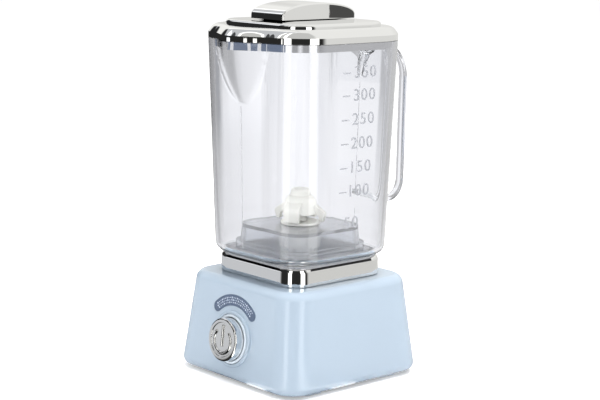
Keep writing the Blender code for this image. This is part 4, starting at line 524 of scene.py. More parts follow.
def make_button():
    """The chrome cap with its sunk face, its flange behind the wall and its stem."""
    sunk, under = BUTTON_TOP - 0.35 * MM, BUTTON_TOP - 1.6 * MM
    profile = [(0, sunk), (7.6 * MM, sunk)]
    profile += arc_points(8.3 * MM, sunk, 0.35 * MM, 180, 90, 4)
    profile += arc_points(9.3 * MM, BUTTON_TOP - 0.9 * MM, 0.9 * MM, 90, 0, 6)
    profile += [(10.2 * MM, -2.35 * MM), (11.4 * MM, -2.35 * MM), (11.4 * MM, -3.35 * MM),
                (8.8 * MM, -3.35 * MM), (8.8 * MM, under), (2.2 * MM, under),
                (2.2 * MM, -5.7 * MM), (0, -5.7 * MM)]
    cap = turned("button_cap", profile, 96)
    soften(cap, 30)
    to_face(cap)
    dress(cap, plated, "chrome_plating", "button", "power_button")


def make_power_symbol():
    """The raised power symbol on the cap: an open ring and a bar in its gap."""
    ring_y, half_gap = -0.5 * MM, math.radians(44)
    clear_choice()
    bpy.ops.mesh.primitive_torus_add(major_radius=5.9 * MM, minor_radius=0.78 * MM,
                                     major_segments=72, minor_segments=16,
                                     location=(0, ring_y, BUTTON_TOP - 0.33 * MM))
    symbol = bpy.context.object
    symbol.scale = (1, 1, 0.75)
    apply_place(symbol)
    edit(symbol, "VERT")
    choose(symbol, lambda v: v.co.y > ring_y
           and abs(v.co.x) < math.tan(half_gap) * (v.co.y - ring_y), "verts")
    bpy.ops.mesh.delete(type="VERT")
    bpy.ops.mesh.select_all(action="SELECT")
    bpy.ops.mesh.region_to_loop()
    bpy.ops.mesh.fill()
    leave()
    tidy_normals(symbol)
    half_bar, bar_y = 5.1 * MM, 1.9 * MM
    bar = rod("power_bar", 0.85 * MM, -half_bar, half_bar, 16)
    bar.rotation_euler = (math.pi / 2, 0, 0)
    bar.location = (0, bar_y, BUTTON_TOP - 0.42 * MM)
    apply_place(bar)
    round_edges(bar, lambda e: all(abs(abs(v.co.y - bar_y) - half_bar) < ON_LEVEL
                                   for v in e.verts), 0.25 * MM, 3)
    join_all([symbol, bar], "power_symbol")
    soften(symbol, 40)
    to_face(symbol)
    dress(symbol, plated, "chrome_plating", "button")


def make_light_ring():
    """The pale ring that lights round the button."""
    ring = turned("light_ring", [(10.55 * MM, 1.6 * MM)]
                  + arc_points(11.25 * MM, 1.25 * MM, 0.35 * MM, 90, 0, 5)
                  + [(11.6 * MM, 0.3 * MM), (10.55 * MM, 0.3 * MM)], 96)
    soften(ring, 35)
    to_face(ring)
    dress(ring, light_ring, "white_plastic", "base", "button_bezel")


def make_badge():
    """The slate arc over the button, with a rim and a sunk face."""
    middle_r, half_band, span = 18.35 * MM, 2.65 * MM, 43.0
    left, right = 90 + span, 90 - span
    ends = [(middle_r * math.cos(math.radians(end)), middle_r * math.sin(math.radians(end)))
            for end in (left, right)]
    outline = arc_points(0, 0, middle_r + half_band, right, left, 40)
    outline += arc_points(*ends[0], half_band, left, left + 180, 12)[1:-1]
    outline += arc_points(0, 0, middle_r - half_band, left, right, 40)
    outline += arc_points(*ends[1], half_band, right + 180, right + 360, 12)[1:-1]
    badge = sheet("badge_arc", [(x, y, -0.5 * MM) for x, y in outline])
    thicken(badge, (0, 0, 0.7 * MM))
    edit(badge)
    choose(badge, flat_at(0.2 * MM))
    bpy.ops.mesh.inset(thickness=0.35 * MM, depth=0.0)
    bpy.ops.mesh.inset(thickness=0.1 * MM, depth=-0.12 * MM)
    leave()
    soften(badge, 30)
    to_face(badge)
    dress(badge, slate, "slate_plastic", "base", "badge_plate")


def make_badge_dots():
    """Three rows of raised pearl dots on the badge, every third one larger."""
    span, small, large, flatness = 81.0, 0.60, 0.88, 0.55
    clear_choice()
    made = []
    for row, radius in enumerate((17.2, 18.35, 19.5)):
        steps = 18 + row * 2
        for i in range(steps + 1):
            angle = math.radians(90 - span / 2 + span * i / steps + (1.5 if row == 1 else 0))
            width = small if (i + row) % 3 else large
            bpy.ops.mesh.primitive_uv_sphere_add(
                segments=12, ring_count=8, radius=width / 2 * MM,
                location=(radius * math.cos(angle) * MM, radius * math.sin(angle) * MM, 0.06 * MM))
            dot = bpy.context.object
            dot.scale = (1, 1, flatness)
            made.append(dot)
    marks = join_all(made, "badge_pearls")
    apply_place(marks)
    soften(marks, 60)
    to_face(marks)
    dress(marks, pearl, "slate_plastic", "base")


# Jug

SPOUT_FOOT_Z, SPOUT_HALF_WIDTH, SPOUT_REACH = 132.0 * MM, 18.0 * MM, 7.8 * MM
STRAP_HALF_WIDTH, STRAP_HALF = 2.1 * MM, 1.3 * MM
HANDLE_TOP_Z, HANDLE_LOW_Z, HANDLE_OUT_Y = 158.2 * MM, 76.3 * MM, 68.9 * MM


def beak(x, z):
    """How far the spout stands out of the front wall at a place."""
    share = (min(z, JUG_RIM_Z - 1.2 * MM) - SPOUT_FOOT_Z) / (JUG_RIM_Z - SPOUT_FOOT_Z)
    if share <= 0:
        return 0.0
    width = SPOUT_HALF_WIDTH * math.sin(math.pi / 2 * share) ** 0.6
    if abs(x) >= width:
        return 0.0
    part = x / width
    swell = 0.5 * (1 + math.cos(math.pi * part)) * 0.55 + (1 - part * part) * 0.45
    return SPOUT_REACH * share * swell


def jug_half(z):
    """Half the jug's outer width at a height of its drafted wall."""
    share = (z - JUG_BOTTOM_Z) / (JUG_RIM_Z - JUG_BOTTOM_Z)
    return JUG_FOOT_HALF + (JUG_RIM_HALF - JUG_FOOT_HALF) * share


def push_beak(piece, reach_z=None):
    """Pushes the points of the front out into the spout."""
    front_y = -20 * MM
    edit(piece, "VERT")
    shape = bmesh.from_edit_mesh(piece.data)
    for point in shape.verts:
        if point.co.y < front_y:
            point.co.y -= beak(point.co.x, reach_z if reach_z is not None else point.co.z)
    bmesh.update_edit_mesh(piece.data)
    leave()


def cut_across(piece, spots, axis):
    """Adds edge loops through the whole piece at places along an axis."""
    edit(piece, "EDGE")
    for spot in spots:
        bpy.ops.mesh.select_all(action="SELECT")
        place, way = [0, 0, 0], [0, 0, 0]
        place[axis], way[axis] = spot, 1
        bpy.ops.mesh.bisect(plane_co=place, plane_no=way)
    leave()


def sheet(name, outline):
    """One flat face with the given outline."""
    clear_choice()
    bpy.ops.mesh.primitive_circle_add(vertices=len(outline), radius=MM, fill_type="NGON")
    piece = bpy.context.object
    piece.name = name
    edit(piece, "VERT")
    shape = bmesh.from_edit_mesh(piece.data)
    shape.verts.ensure_lookup_table()
    for point, place in zip(shape.verts, outline):
        point.co = place
    bmesh.update_edit_mesh(piece.data)
    leave()
    return piece


def strip(name, one_side, other_side):
    """A band of quads between two lines with as many points."""
    clear_choice()
    bpy.ops.mesh.primitive_grid_add(x_subdivisions=len(one_side) - 1, y_subdivisions=1,
                                    size=MM)
    piece = bpy.context.object
    piece.name = name
    edit(piece, "VERT")
    shape = bmesh.from_edit_mesh(piece.data)
    low = sorted((v for v in shape.verts if v.co.y < 0), key=lambda v: v.co.x)
    high = sorted((v for v in shape.verts if v.co.y > 0), key=lambda v: v.co.x)
    for points, places in ((low, one_side), (high, other_side)):
        for point, place in zip(points, places):
            point.co = place
    bmesh.update_edit_mesh(piece.data)
    leave()
    return piece


def handle_line(steps=18):
    """Middle line of the handle's strap as (y, z), from the rim round to its lower root."""
    out, top, low = HANDLE_OUT_Y - STRAP_HALF, HANDLE_TOP_Z - STRAP_HALF, HANDLE_LOW_Z + STRAP_HALF
    upper_bend, lower_bend, inset_out, sunk = 19 * MM, 9.5 * MM, 0.6 * MM, 1.0 * MM
    points = [(jug_half(158 * MM) - sunk, top), (44.0 * MM, top)]
    for i in range(steps + 1):
        angle = math.pi / 2 * (1 - i / steps)
        points.append((out - upper_bend + upper_bend * math.cos(angle),
                       top - upper_bend + upper_bend * math.sin(angle)))
    lower_out = out - inset_out
    for i in range(steps + 1):
        angle = -math.radians(105) * i / steps
        points.append((lower_out - lower_bend + lower_bend * math.cos(angle),
                       low + lower_bend + lower_bend * math.sin(angle)))
    root_z = 84.2 * MM
    points.append((jug_half(root_z) - sunk, root_z))
    return points


def make_strap():
    """The handle's flat strap, swept along its line, with its long edges rounded."""
    line = handle_line()
    sides = ([], [])
    for i, (y, z) in enumerate(line):
        before, after = line[max(i - 1, 0)], line[min(i + 1, len(line) - 1)]
        way = Vector((after[0] - before[0], after[1] - before[1])).normalized()
        for side, half in zip(sides, (STRAP_HALF, -STRAP_HALF)):
            side.append((-STRAP_HALF_WIDTH, y - way.y * half, z + way.x * half))
    strap = strip("handle_strap", *sides)
    thicken(strap, (2 * STRAP_HALF_WIDTH, 0, 0))

    def long_edge(e):
        """An edge along the strap, between a broad face and a flank, outside the jug."""
        return (abs(e.verts[0].co.x - e.verts[1].co.x) < 1e-5 and len(e.link_faces) == 2
                and e.link_faces[0].normal.dot(e.link_faces[1].normal) < 0.4
                and all(v.co.y > 38.2 * MM for v in e.verts))

    round_edges(strap, long_edge, 0.9 * MM, 4)
    return strap


def make_gusset():
    """The winged root between the rim and the handle."""
    full_z, slim_z, spread = 153.5 * MM, 147.8 * MM, 9.4 * MM

    def wing(z):
        """Half the root's width at the wall: the strap's low down, wide at the rim."""
        share = min(max((z - slim_z) / (full_z - slim_z), 0), 1)
        return STRAP_HALF_WIDTH + spread * share * share * (3 - 2 * share)

    heights = [158.2, 156.5, 155.0, 153.5, 152.4, 151.3, 150.2, 149.0, 147.8, 144.0, 141.0]
    wide = [(-wing(z * MM), z * MM) for z in heights] + [(-1.7 * MM, 139.4 * MM),
                                                         (-0.7 * MM, 138.5 * MM)]
    count = len(wide)
    slim = [(-STRAP_HALF_WIDTH, (158.2 - 2.2 * i / (count - 2)) * MM) for i in range(count - 1)]
    slim.append((-1.0 * MM, 155.6 * MM))
    wide += [(-x, z) for x, z in reversed(wide)]
    slim += [(-x, z) for x, z in reversed(slim)]
    start, length = jug_half(full_z) - 1.2 * MM, 12 * MM
    rings = []
    for i in range(9):
        share = i / 8
        pull = (1 - share) ** 2
        rings.append([(b[0] + (a[0] - b[0]) * pull, start + length * share,
                       b[1] + (a[1] - b[1]) * pull) for a, b in zip(wide, slim)])
    return skin("handle_gusset", rings)


def skin(name, rings):
    """Extrudes the first outline through the others in order into one closed solid."""
    piece = sheet(name, rings[0])
    for outline in rings[1:]:
        edit(piece)
        shape = bmesh.from_edit_mesh(piece.data)
        last = [f for f in shape.faces if len(f.verts) == len(outline)][-1]
        last.select_set(True)
        bmesh.update_edit_mesh(piece.data)
        bpy.ops.mesh.extrude_region_move(TRANSFORM_OT_translate={"value": (0, 0, 0)})
        shape = bmesh.from_edit_mesh(piece.data)
        moved = [f for f in shape.faces if f.select][0]
        for point, place in zip(moved.verts, outline):
            point.co = place
        bmesh.update_edit_mesh(piece.data)
        leave()
    tidy_normals(piece)
    return piece


def make_jug():
    """Clear tapered jug: beak, round foot, raised floor, neck and handle in one moulding."""
    shell = tapered_block("jug_shell", JUG_FOOT_HALF, JUG_BOTTOM_Z, JUG_RIM_HALF, JUG_RIM_Z,
                          JUG_CORNER, 24)
    round_edges(shell, flat_at(JUG_BOTTOM_Z), 4.5 * MM, 10)
    edit(shell)
    choose(shell, flat_at(JUG_RIM_Z))
    bpy.ops.mesh.delete(type="ONLY_FACE")
    choose(shell, flat_at(JUG_BOTTOM_Z))
    bpy.ops.mesh.inset(thickness=8.0 * MM, depth=0.0)
    bpy.ops.mesh.inset(thickness=0.02 * MM, depth=0.0)
    raise_face(3.1 * MM)
    bpy.ops.mesh.inset(thickness=2.0 * MM, depth=0.0)
    raise_face(8.2 * MM, 20.4 / 21.0)
    leave()
    cut_across(shell, [SPOUT_FOOT_Z + 1.3 * MM * i for i in range(22)], 2)
    cut_across(shell, [1.2 * MM * i for i in range(-15, 16)], 0)
    push_beak(shell)
    tidy_normals(shell)
    modify(shell, "SOLIDIFY", thickness=WALL, offset=-1, use_even_offset=True,
           use_quality_normals=True)
    neck = tapered_block("jug_neck", NECK_HALF, NECK_LOW_Z, NECK_HALF, 59.5 * MM, 8.0 * MM, 18)
    neck_room = tapered_block("neck_room", 25.7 * MM, 40 * MM, 25.7 * MM, 70 * MM, 6.2 * MM, 18)
    combine(neck, neck_room, "DIFFERENCE")
    combine(shell, neck, "UNION")
    combine(shell, make_gusset(), "UNION")
    combine(shell, make_strap(), "UNION")
    combine(shell, rod("seal_bore", 4.8 * MM, 69 * MM, 73 * MM, 48), "DIFFERENCE")
    soften(shell, 28)
    to_toy(shell)
    dress(shell, clear, "clear_plastic", "jug", "jug_body")
    cloud_jug(shell)


def cloud_jug(shell):
    """Haze where the moulding is thick: the raised floor and the handle's two roots."""
    shell.data.materials.append(hazy)
    shell.data.materials.append(milky)
    for face in shell.data.polygons:
        x, z, out_y = face.center.x / MM, face.center.z / MM, (face.center.y - SHIFT_Y) / MM
        raised_floor = max(abs(x), abs(out_y)) < JUG_FOOT_HALF / MM - 7 and 59.5 < z < 73.5
        lower_root = 37.6 < out_y < 56 and z < 94
        upper_root = 39.8 < out_y < 45 and 146 < z < 159
        if raised_floor or upper_root:
            face.material_index = 1
        elif lower_root:
            face.material_index = 2


def make_fill_scale():
    """Ticks and figures of the fill scale, standing just proud of the side wall."""
    lean = math.atan((JUG_RIM_HALF - JUG_FOOT_HALF) / (JUG_RIM_Z - JUG_BOTTOM_Z))
    onto_side = (Matrix(((0, 0, 1, 0), (1, 0, 0, 0), (0, 1, 0, 0), (0, 0, 0, 1)))
                 @ Matrix.Rotation(-lean, 4, "X"))
    foot_z, foot_proud, wall_proud = 80, 0.16, 0.05
    # Volume in millilitres, height of its mark, and where its figures start
    levels = ((50, 77.6, -4.3), (100, 92.5, -3.2), (150, 103.7, -2.8), (200, 114.9, -2.3),
              (250, 126.0, -2.1), (300, 137.1, -2.0), (350, 147.6, -1.9))
    made = []
    for number, z, start in levels:
        clear_choice()
        bpy.ops.object.text_add()
        text = bpy.context.object
        text.data.body = str(number)
        text.data.size = 6.9 * MM
        text.data.align_x, text.data.align_y = "LEFT", "CENTER"
        text.data.space_character = 1.16
        text.data.offset = -0.01 * MM
        text.data.extrude = 0.10 * MM
        text.data.bevel_depth = 0.03 * MM
        text.data.resolution_u = 6
        bpy.ops.object.convert(target="MESH")
        text = bpy.context.object
        tick = block("tick", (-0.5, -0.5, -0.5), (0.5, 0.5, 0.5))
        tick.scale = (4.6 * MM, 0.55 * MM, 0.22 * MM)
        tick.location = (-6.6 * MM, 0, 0)
        apply_place(tick)
        text.location.x = start * MM
        apply_place(text)
        text.scale = (1.22, 1.12, 1)
        apply_place(text)
        proud = foot_proud if z < foot_z else wall_proud
        place = Matrix.Translation((jug_half(z * MM) + proud * MM, 0, z * MM))
        for mark in (text, tick):
            mark.matrix_world = place @ onto_side
            apply_place(mark)
            made.append(mark)
    scale = join_all(made, "fill_scale")
    soften(scale, 30)
    to_toy(scale)
    dress(scale, frosted, "clear_plastic", "jug")


def make_parting_lines():
    """Fine witness lines of the mould down the front and the back of the jug."""
    stretches = (("front", -1, 63.5, 131.0), ("back", 1, 63.5, 75.5),
                 ("back_high", 1, 84.5, 138.0))
    made = []
    for name, side, low, high in stretches:
        wide = 0.15 * MM if side < 0 else 0.09 * MM
        line = block(f"line_{name}", (-wide, -0.05 * MM, low * MM), (wide, 0.11 * MM, high * MM))
        edit(line, "VERT")
        shape = bmesh.from_edit_mesh(line.data)
        for point in shape.verts:
            point.co.y += side * jug_half(point.co.z)
        bmesh.update_edit_mesh(line.data)
        leave()
        made.append(line)
    lines = join_all(made, "parting_lines")
    tidy_normals(lines)
    to_toy(lines)
    dress(lines, line_marks, "clear_plastic", "jug")


# Lid

def lid_outline(name, inward, z):
    """The rim's outline with its beak, drawn in, as one face."""
    half, corner = JUG_RIM_HALF - inward, JUG_CORNER - inward
    piece = square(name, half, corner, z, 24)
    edit(piece, "EDGE")
    choose(piece, lambda e: all(abs(v.co.y + half) < SAME_PLACE for v in e.verts)
           and abs(e.verts[0].co.x - e.verts[1].co.x) > 5 * MM, "edges")
    bpy.ops.mesh.subdivide(number_cuts=27)
    leave()
    push_beak(piece, JUG_RIM_Z)
    return piece


def lid_block(name, inward, low_z, high_z):
    """A solid with the rim's outline, drawn in, between two heights."""
    piece = lid_outline(name, inward, low_z)
    thicken(piece, (0, 0, high_z - low_z))
    return piece


def make_lid():
    """Plated cover: band, rolled shoulder, tier, and the skirt that fits the mouth."""
    band_low, band_high, tier_top, room_top = 161.0 * MM, 163.7 * MM, 169.4 * MM, 167.7 * MM
    cover = lid_outline("lid_plating", 0.0, band_low)
    edit(cover)
    bpy.ops.mesh.select_all(action="SELECT")
    raise_face(band_high - band_low)
    shoulder = ((0.80, 1.12), (0.95, 1.22), (0.60, 0.50), (0.75, 0.40), (0.95, 0.27),
                (1.05, 0.14), (1.10, 0.05))
    for inward, rise in shoulder:
        bpy.ops.mesh.inset(thickness=inward * MM, depth=rise * MM, use_even_offset=True)
    leave()
    tidy_normals(cover)
    tier = tapered_block("lid_tier", 30.2 * MM, 163 * MM, 29.9 * MM, tier_top, 14 * MM, 20)
    round_edges(tier, flat_at(tier_top), 1.4 * MM, 8)
    edit(tier)
    choose(tier, flat_at(tier_top))
    bpy.ops.mesh.inset(thickness=6 * MM, depth=0.35 * MM)
    bpy.ops.mesh.inset(thickness=5 * MM, depth=0.22 * MM)
    leave()
    combine(cover, tier, "UNION")
    combine(cover, lid_block("lid_skirt", 2.8 * MM, 157.3 * MM, 162.0 * MM), "UNION")
    combine(cover, lid_block("lid_room", 4.3 * MM, 150 * MM, 164.9 * MM), "DIFFERENCE")
    tier_room = tapered_block("tier_room", 28.6 * MM, 150 * MM, 28.4 * MM, room_top,
                              12.4 * MM, 16)
    combine(cover, tier_room, "DIFFERENCE")
    soften(cover, 26)
    to_toy(cover)
    dress(cover, plated, "chrome_plating", "lid", "lid_cover")


def arch(x, half_length, foot_z, start_z, rise, steps):
    """Outline of an upright arch along Y: its foot line, then its flattened bow."""
    outline = [(x, -half_length, foot_z), (x, half_length, foot_z)]
    for i in range(steps + 1):
        angle = math.pi * i / steps
        outline.append((x, half_length * math.cos(angle), start_z + rise * math.sin(angle) ** 0.85))
    return outline


def make_grip():
    """The arched grip, hollow under its plated skin, on two posts."""
    base, top = 170.3 * MM, 177.9 * MM
    length, width, end = 22.85 * MM, 11.5 * MM, 1.6 * MM
    grip = sheet("grip_plating", arch(-width, length, base, base + end, top - base - end, 40))
    thicken(grip, (2 * width, 0, 0))
    round_edges(grip, lambda e: len(e.link_faces) == 2
                and abs(e.verts[0].co.x - e.verts[1].co.x) < 1e-5
                and e.verts[0].co.z + e.verts[1].co.z > 2 * (base + 0.3 * MM), 0.9 * MM, 5)
    room_width, room_length = width - 1.7 * MM, length - 3.4 * MM
    room = sheet("grip_room", arch(-room_width, room_length, base - MM, base + 0.4 * MM,
                                   top - base - 2.4 * MM, 24))
    thicken(room, (2 * room_width, 0, 0))
    combine(grip, room, "DIFFERENCE")
    for side in (-1, 1):
        combine(grip, rod("grip_post", 2.4 * MM, base, top - 1.5 * MM, 32, (0, side * 10 * MM)),
                "UNION")
    soften(grip, 28)
    to_toy(grip)
    dress(grip, plated, "chrome_plating", "lid", "lid_grip")


# Blade

def make_blade():
    """Ivory rotor: capped bell hub, two swept fins and two broad legs."""
    column_z = SEAL_TOP_Z + 0.3 * MM
    profile = [(0, 89.2 * MM)] + arc_points(3.4 * MM, 87.7 * MM, 1.5 * MM, 90, 0, 6)
    for i in range(13):
        share = i / 12
        profile.append(((5.1 + 3.5 * math.sin(math.pi / 2 * share)) * MM,
                        (85.9 - 8.7 * share * share) * MM))
    profile += [(8.2 * MM, 76.95 * MM), (7.4 * MM, 77.2 * MM), (3.6 * MM, 78.4 * MM),
                (3.4 * MM, column_z), (0, column_z)]
    rotor = turned("blade_hub", profile, 72)
    fin_turn = math.radians(23)
    fin = [(-4.9, 84.3), (-13.2, 78.6), (-13.9, 77.8), (-13.5, 76.4), (-12.6, 73.75),
           (-10.8, 73.75), (-10.3, 76.6), (-9.6, 77.1), (-2.4, 77.2)]
    leg = [(-4.9, 84.3), (-8.4, 82.6), (-10.4, 80.4), (-10.9, 78.6), (-10.9, 73.75),
           (-9.2, 73.75), (-9.2, 76.4), (-8.6, 77.2), (-2.4, 77.2)]
    for name, side, width, spin in (("fin", fin, 3.0, fin_turn),
                                    ("leg", leg, 8.3, fin_turn + math.pi / 2)):
        for way in (1, -1):
            points = [(x * way * MM, -width / 2 * MM, z * MM) for x, z in side]
            arm = sheet(f"blade_{name}", points)
            thicken(arm, (0, width * MM, 0))
            round_edges(arm, lambda e: max(abs(v.co.x) for v in e.verts) > 5.5 * MM,
                        0.45 * MM, 3, clamp=True)
            arm.rotation_euler = (0, 0, spin)
            apply_place(arm)
            combine(rotor, arm, "UNION")
    combine(rotor, rod("blade_bore", 1.6 * MM, 70 * MM, 84.7 * MM, 32), "DIFFERENCE")
    soften(rotor, 32)
    to_toy(rotor)
    dress(rotor, ivory, "ivory_plastic", "blade", "blade_rotor")


def make_seal():
    """The washer that stands on the raised floor under the hub, round the blade's pin."""
    seal = turned("floor_seal", arc_points(9.4 * MM, SEAL_TOP_Z - 0.4 * MM, 0.4 * MM, 90, 0, 4)
                  + [(9.8 * MM, 72.3 * MM), (4.7 * MM, 72.3 * MM), (4.7 * MM, 70.0 * MM),
                     (1.58 * MM, 70.0 * MM), (1.58 * MM, SEAL_TOP_Z)], 64)
    soften(seal, 32)
    to_toy(seal)
    dress(seal, ivory, "ivory_plastic", "jug", "shaft_seal")


def make_socket():
    """The jug's coupling under its floor: a round body with a six-lobed hole for the dog."""
    top, lobe_count, points = 69.7 * MM, 6, 96
    socket = rod("socket_body", 9.4 * MM, 61.2 * MM, top, 72)
    round_edges(socket, flat_at(top), 0.5 * MM, 3)
    lobes = []
    for i in range(points):
        angle = math.tau * i / points
        radius = (5.95 + 0.8 * math.cos(lobe_count * angle)) * MM
        lobes.append((radius * math.cos(angle), radius * math.sin(angle), 60 * MM))
    cavity = sheet("socket_room", lobes)
    thicken(cavity, (0, 0, 6.7 * MM))
    combine(socket, cavity, "DIFFERENCE")
    combine(socket, rod("socket_bore", 1.6 * MM, 65 * MM, 71 * MM, 32), "DIFFERENCE")
    soften(socket, 32)
    to_toy(socket)
    dress(socket, ivory, "ivory_plastic", "blade", "jug_coupling")


# Smaller pieces

def make_underside():
    """Base plate, door and feet, smoothed from the solids and given their finishes."""
    plate = smooth_copy("base_plate")
    dress(plate, plate_blue, "blue_plastic", "base", "base_plate")
    door = smooth_copy("battery_door")
    dress(door, plate_blue, "blue_plastic", "door", "battery_door")
    for place in ("front_left", "front_right", "back_left", "back_right"):
        foot = smooth_copy(f"foot_{place}")
        dress(foot, rubber, "foot_rubber", "base", f"foot_{place}")


def make_screws():
    """Pan heads with a cross recess, in place of the plain screws."""
    for name, body in (("base_plate_screw_1", "base"), ("base_plate_screw_2", "base"),
                       ("base_plate_screw_3", "base"), ("base_plate_screw_4", "base"),
                       ("battery_door_screw_1", "door"), ("battery_door_screw_2", "door")):
        low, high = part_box(name)
        centre = ((low[0] + high[0]) / 2, (low[1] + high[1]) / 2)
        head, shank, head_height = (high[0] - low[0]) / 2, 1.0 * MM, 1.1 * MM
        profile = [(0, high[2]), (shank, high[2]), (shank, low[2] + head_height)]
        profile += [(head, low[2] + head_height), (head, low[2] + 0.5 * MM)]
        profile += arc_points(head - 0.45 * MM, low[2] + 0.45 * MM, 0.45 * MM, 0, -90, 4)
        profile += [(0, low[2])]
        screw = turned(f"{name}_turned", profile, 32)
        for half_x, half_y in ((1.35 * MM, 0.24 * MM), (0.24 * MM, 1.35 * MM)):
            slot = block("slot", (-half_x, -half_y, low[2] - MM),
                         (half_x, half_y, low[2] + 0.6 * MM))
            combine(screw, slot, "DIFFERENCE")
        soften(screw, 32)
        screw.location = (centre[0], centre[1], 0)
        apply_place(screw)
        dress(screw, steel, "steel", body, name)


def finish_inner_nodes():
    """The moulded, turned and plated finishes of all that is carried over from the solids."""
    inner = {
        white_part: ("drive_gear", "gear_deck", "motor_end_cap", "switch_plunger"),
        natural: ("drive_coupling",),
        black_part: ("push_switch", "battery_box"),
        laminate: ("circuit_board",),
        sleeve: ("battery_front", "battery_rear"),
        brass: ("motor_pinion", "shaft_bush_lower", "shaft_bush_upper", "motor_tab_plus",
                "motor_tab_minus"),
        steel: ("motor_can", "motor_shaft", "output_shaft", "blade_shaft", "board_screw_1",
                "board_screw_2", "gear_deck_screw_1", "gear_deck_screw_2", "gear_deck_screw_3",
                "grip_screw_1", "grip_screw_2", "contact_bridge", "contact_plus",
                "contact_minus", "spring_minus", "spring_bridge")}
    for made, names in inner.items():
        for name in names:
            nodes[name].data.materials.clear()
            nodes[name].data.materials.append(made)


make_base_shell()
make_collar()
make_button()
make_power_symbol()
make_light_ring()
make_badge()
make_badge_dots()
make_jug()
make_fill_scale()
make_parting_lines()
make_lid()
make_grip()
make_blade()
make_seal()
make_socket()
make_underside()
make_screws()
finish_inner_nodes()


# Camera, light and floor

def make_camera():
    """The photograph's own viewpoint: a long lens from the front right, looking down."""
    across, down, lean = math.radians(48.318), math.radians(10.197), math.radians(-0.885)
    lens_mm, sensor_mm = 94.09, 36.0
    standpoint = Vector((0.5536, -0.4933 + SHIFT_Y, 0.2165))
    ahead = Vector((-math.sin(across) * math.cos(down), math.cos(across) * math.cos(down),
                    -math.sin(down)))
    side = Vector((math.cos(across), math.sin(across), 0))
    upright = side.cross(ahead)
    right = side * math.cos(lean) - upright * math.sin(lean)
    up = side * math.sin(lean) + upright * math.cos(lean)
    data = bpy.data.cameras.new("photo_camera")
    data.lens = lens_mm
    data.sensor_width = sensor_mm
    data.clip_start, data.clip_end = 0.05, 20.0
    camera = bpy.data.objects.new("photo_camera", data)
    bpy.context.scene.collection.objects.link(camera)
    place = Matrix((right, up, -ahead)).transposed().to_4x4()
    place.translation = standpoint
    camera.matrix_world = place
    bpy.context.scene.camera = camera


def ramp(tree, value, low, high, start=0.0, end=1.0):
    """A soft step from one number to another while the value goes from low to high."""
    made = tree.nodes.new("ShaderNodeMapRange")
    made.interpolation_type = "SMOOTHSTEP"
    tree.links.new(value, made.inputs["Value"])
    for name, number in (("From Min", low), ("From Max", high), ("To Min", start),
                         ("To Max", end)):
        made.inputs[name].default_value = number
    return made.outputs["Result"]


def band(tree, value, low, high, edge):
    """One between low and high and nothing outside, with soft edges."""
    return calc(tree, "MULTIPLY", ramp(tree, value, low - edge, low + edge),
                ramp(tree, value, high - edge, high + edge, 1.0, 0.0))


def total(tree, *values):
    """The sum of sockets and numbers."""
    result = values[0]
    for value in values[1:]:
        result = calc(tree, "ADD", result, value)
    return result


def tinted(tree, value, amount, cool, warm):
    """A grey value given a cool or a warm tint by an amount from 0 to 1."""
    tint = tree.nodes.new("ShaderNodeMix")
    tint.data_type = "RGBA"
    tree.links.new(amount, tint.inputs["Factor"])
    tint.inputs["A"].default_value = (*cool, 1)
    tint.inputs["B"].default_value = (*warm, 1)
    times = tree.nodes.new("ShaderNodeVectorMath")
    times.operation = "SCALE"
    tree.links.new(tint.outputs["Result"], times.inputs[0])
    tree.links.new(value, times.inputs["Scale"])
    return times.outputs[0]


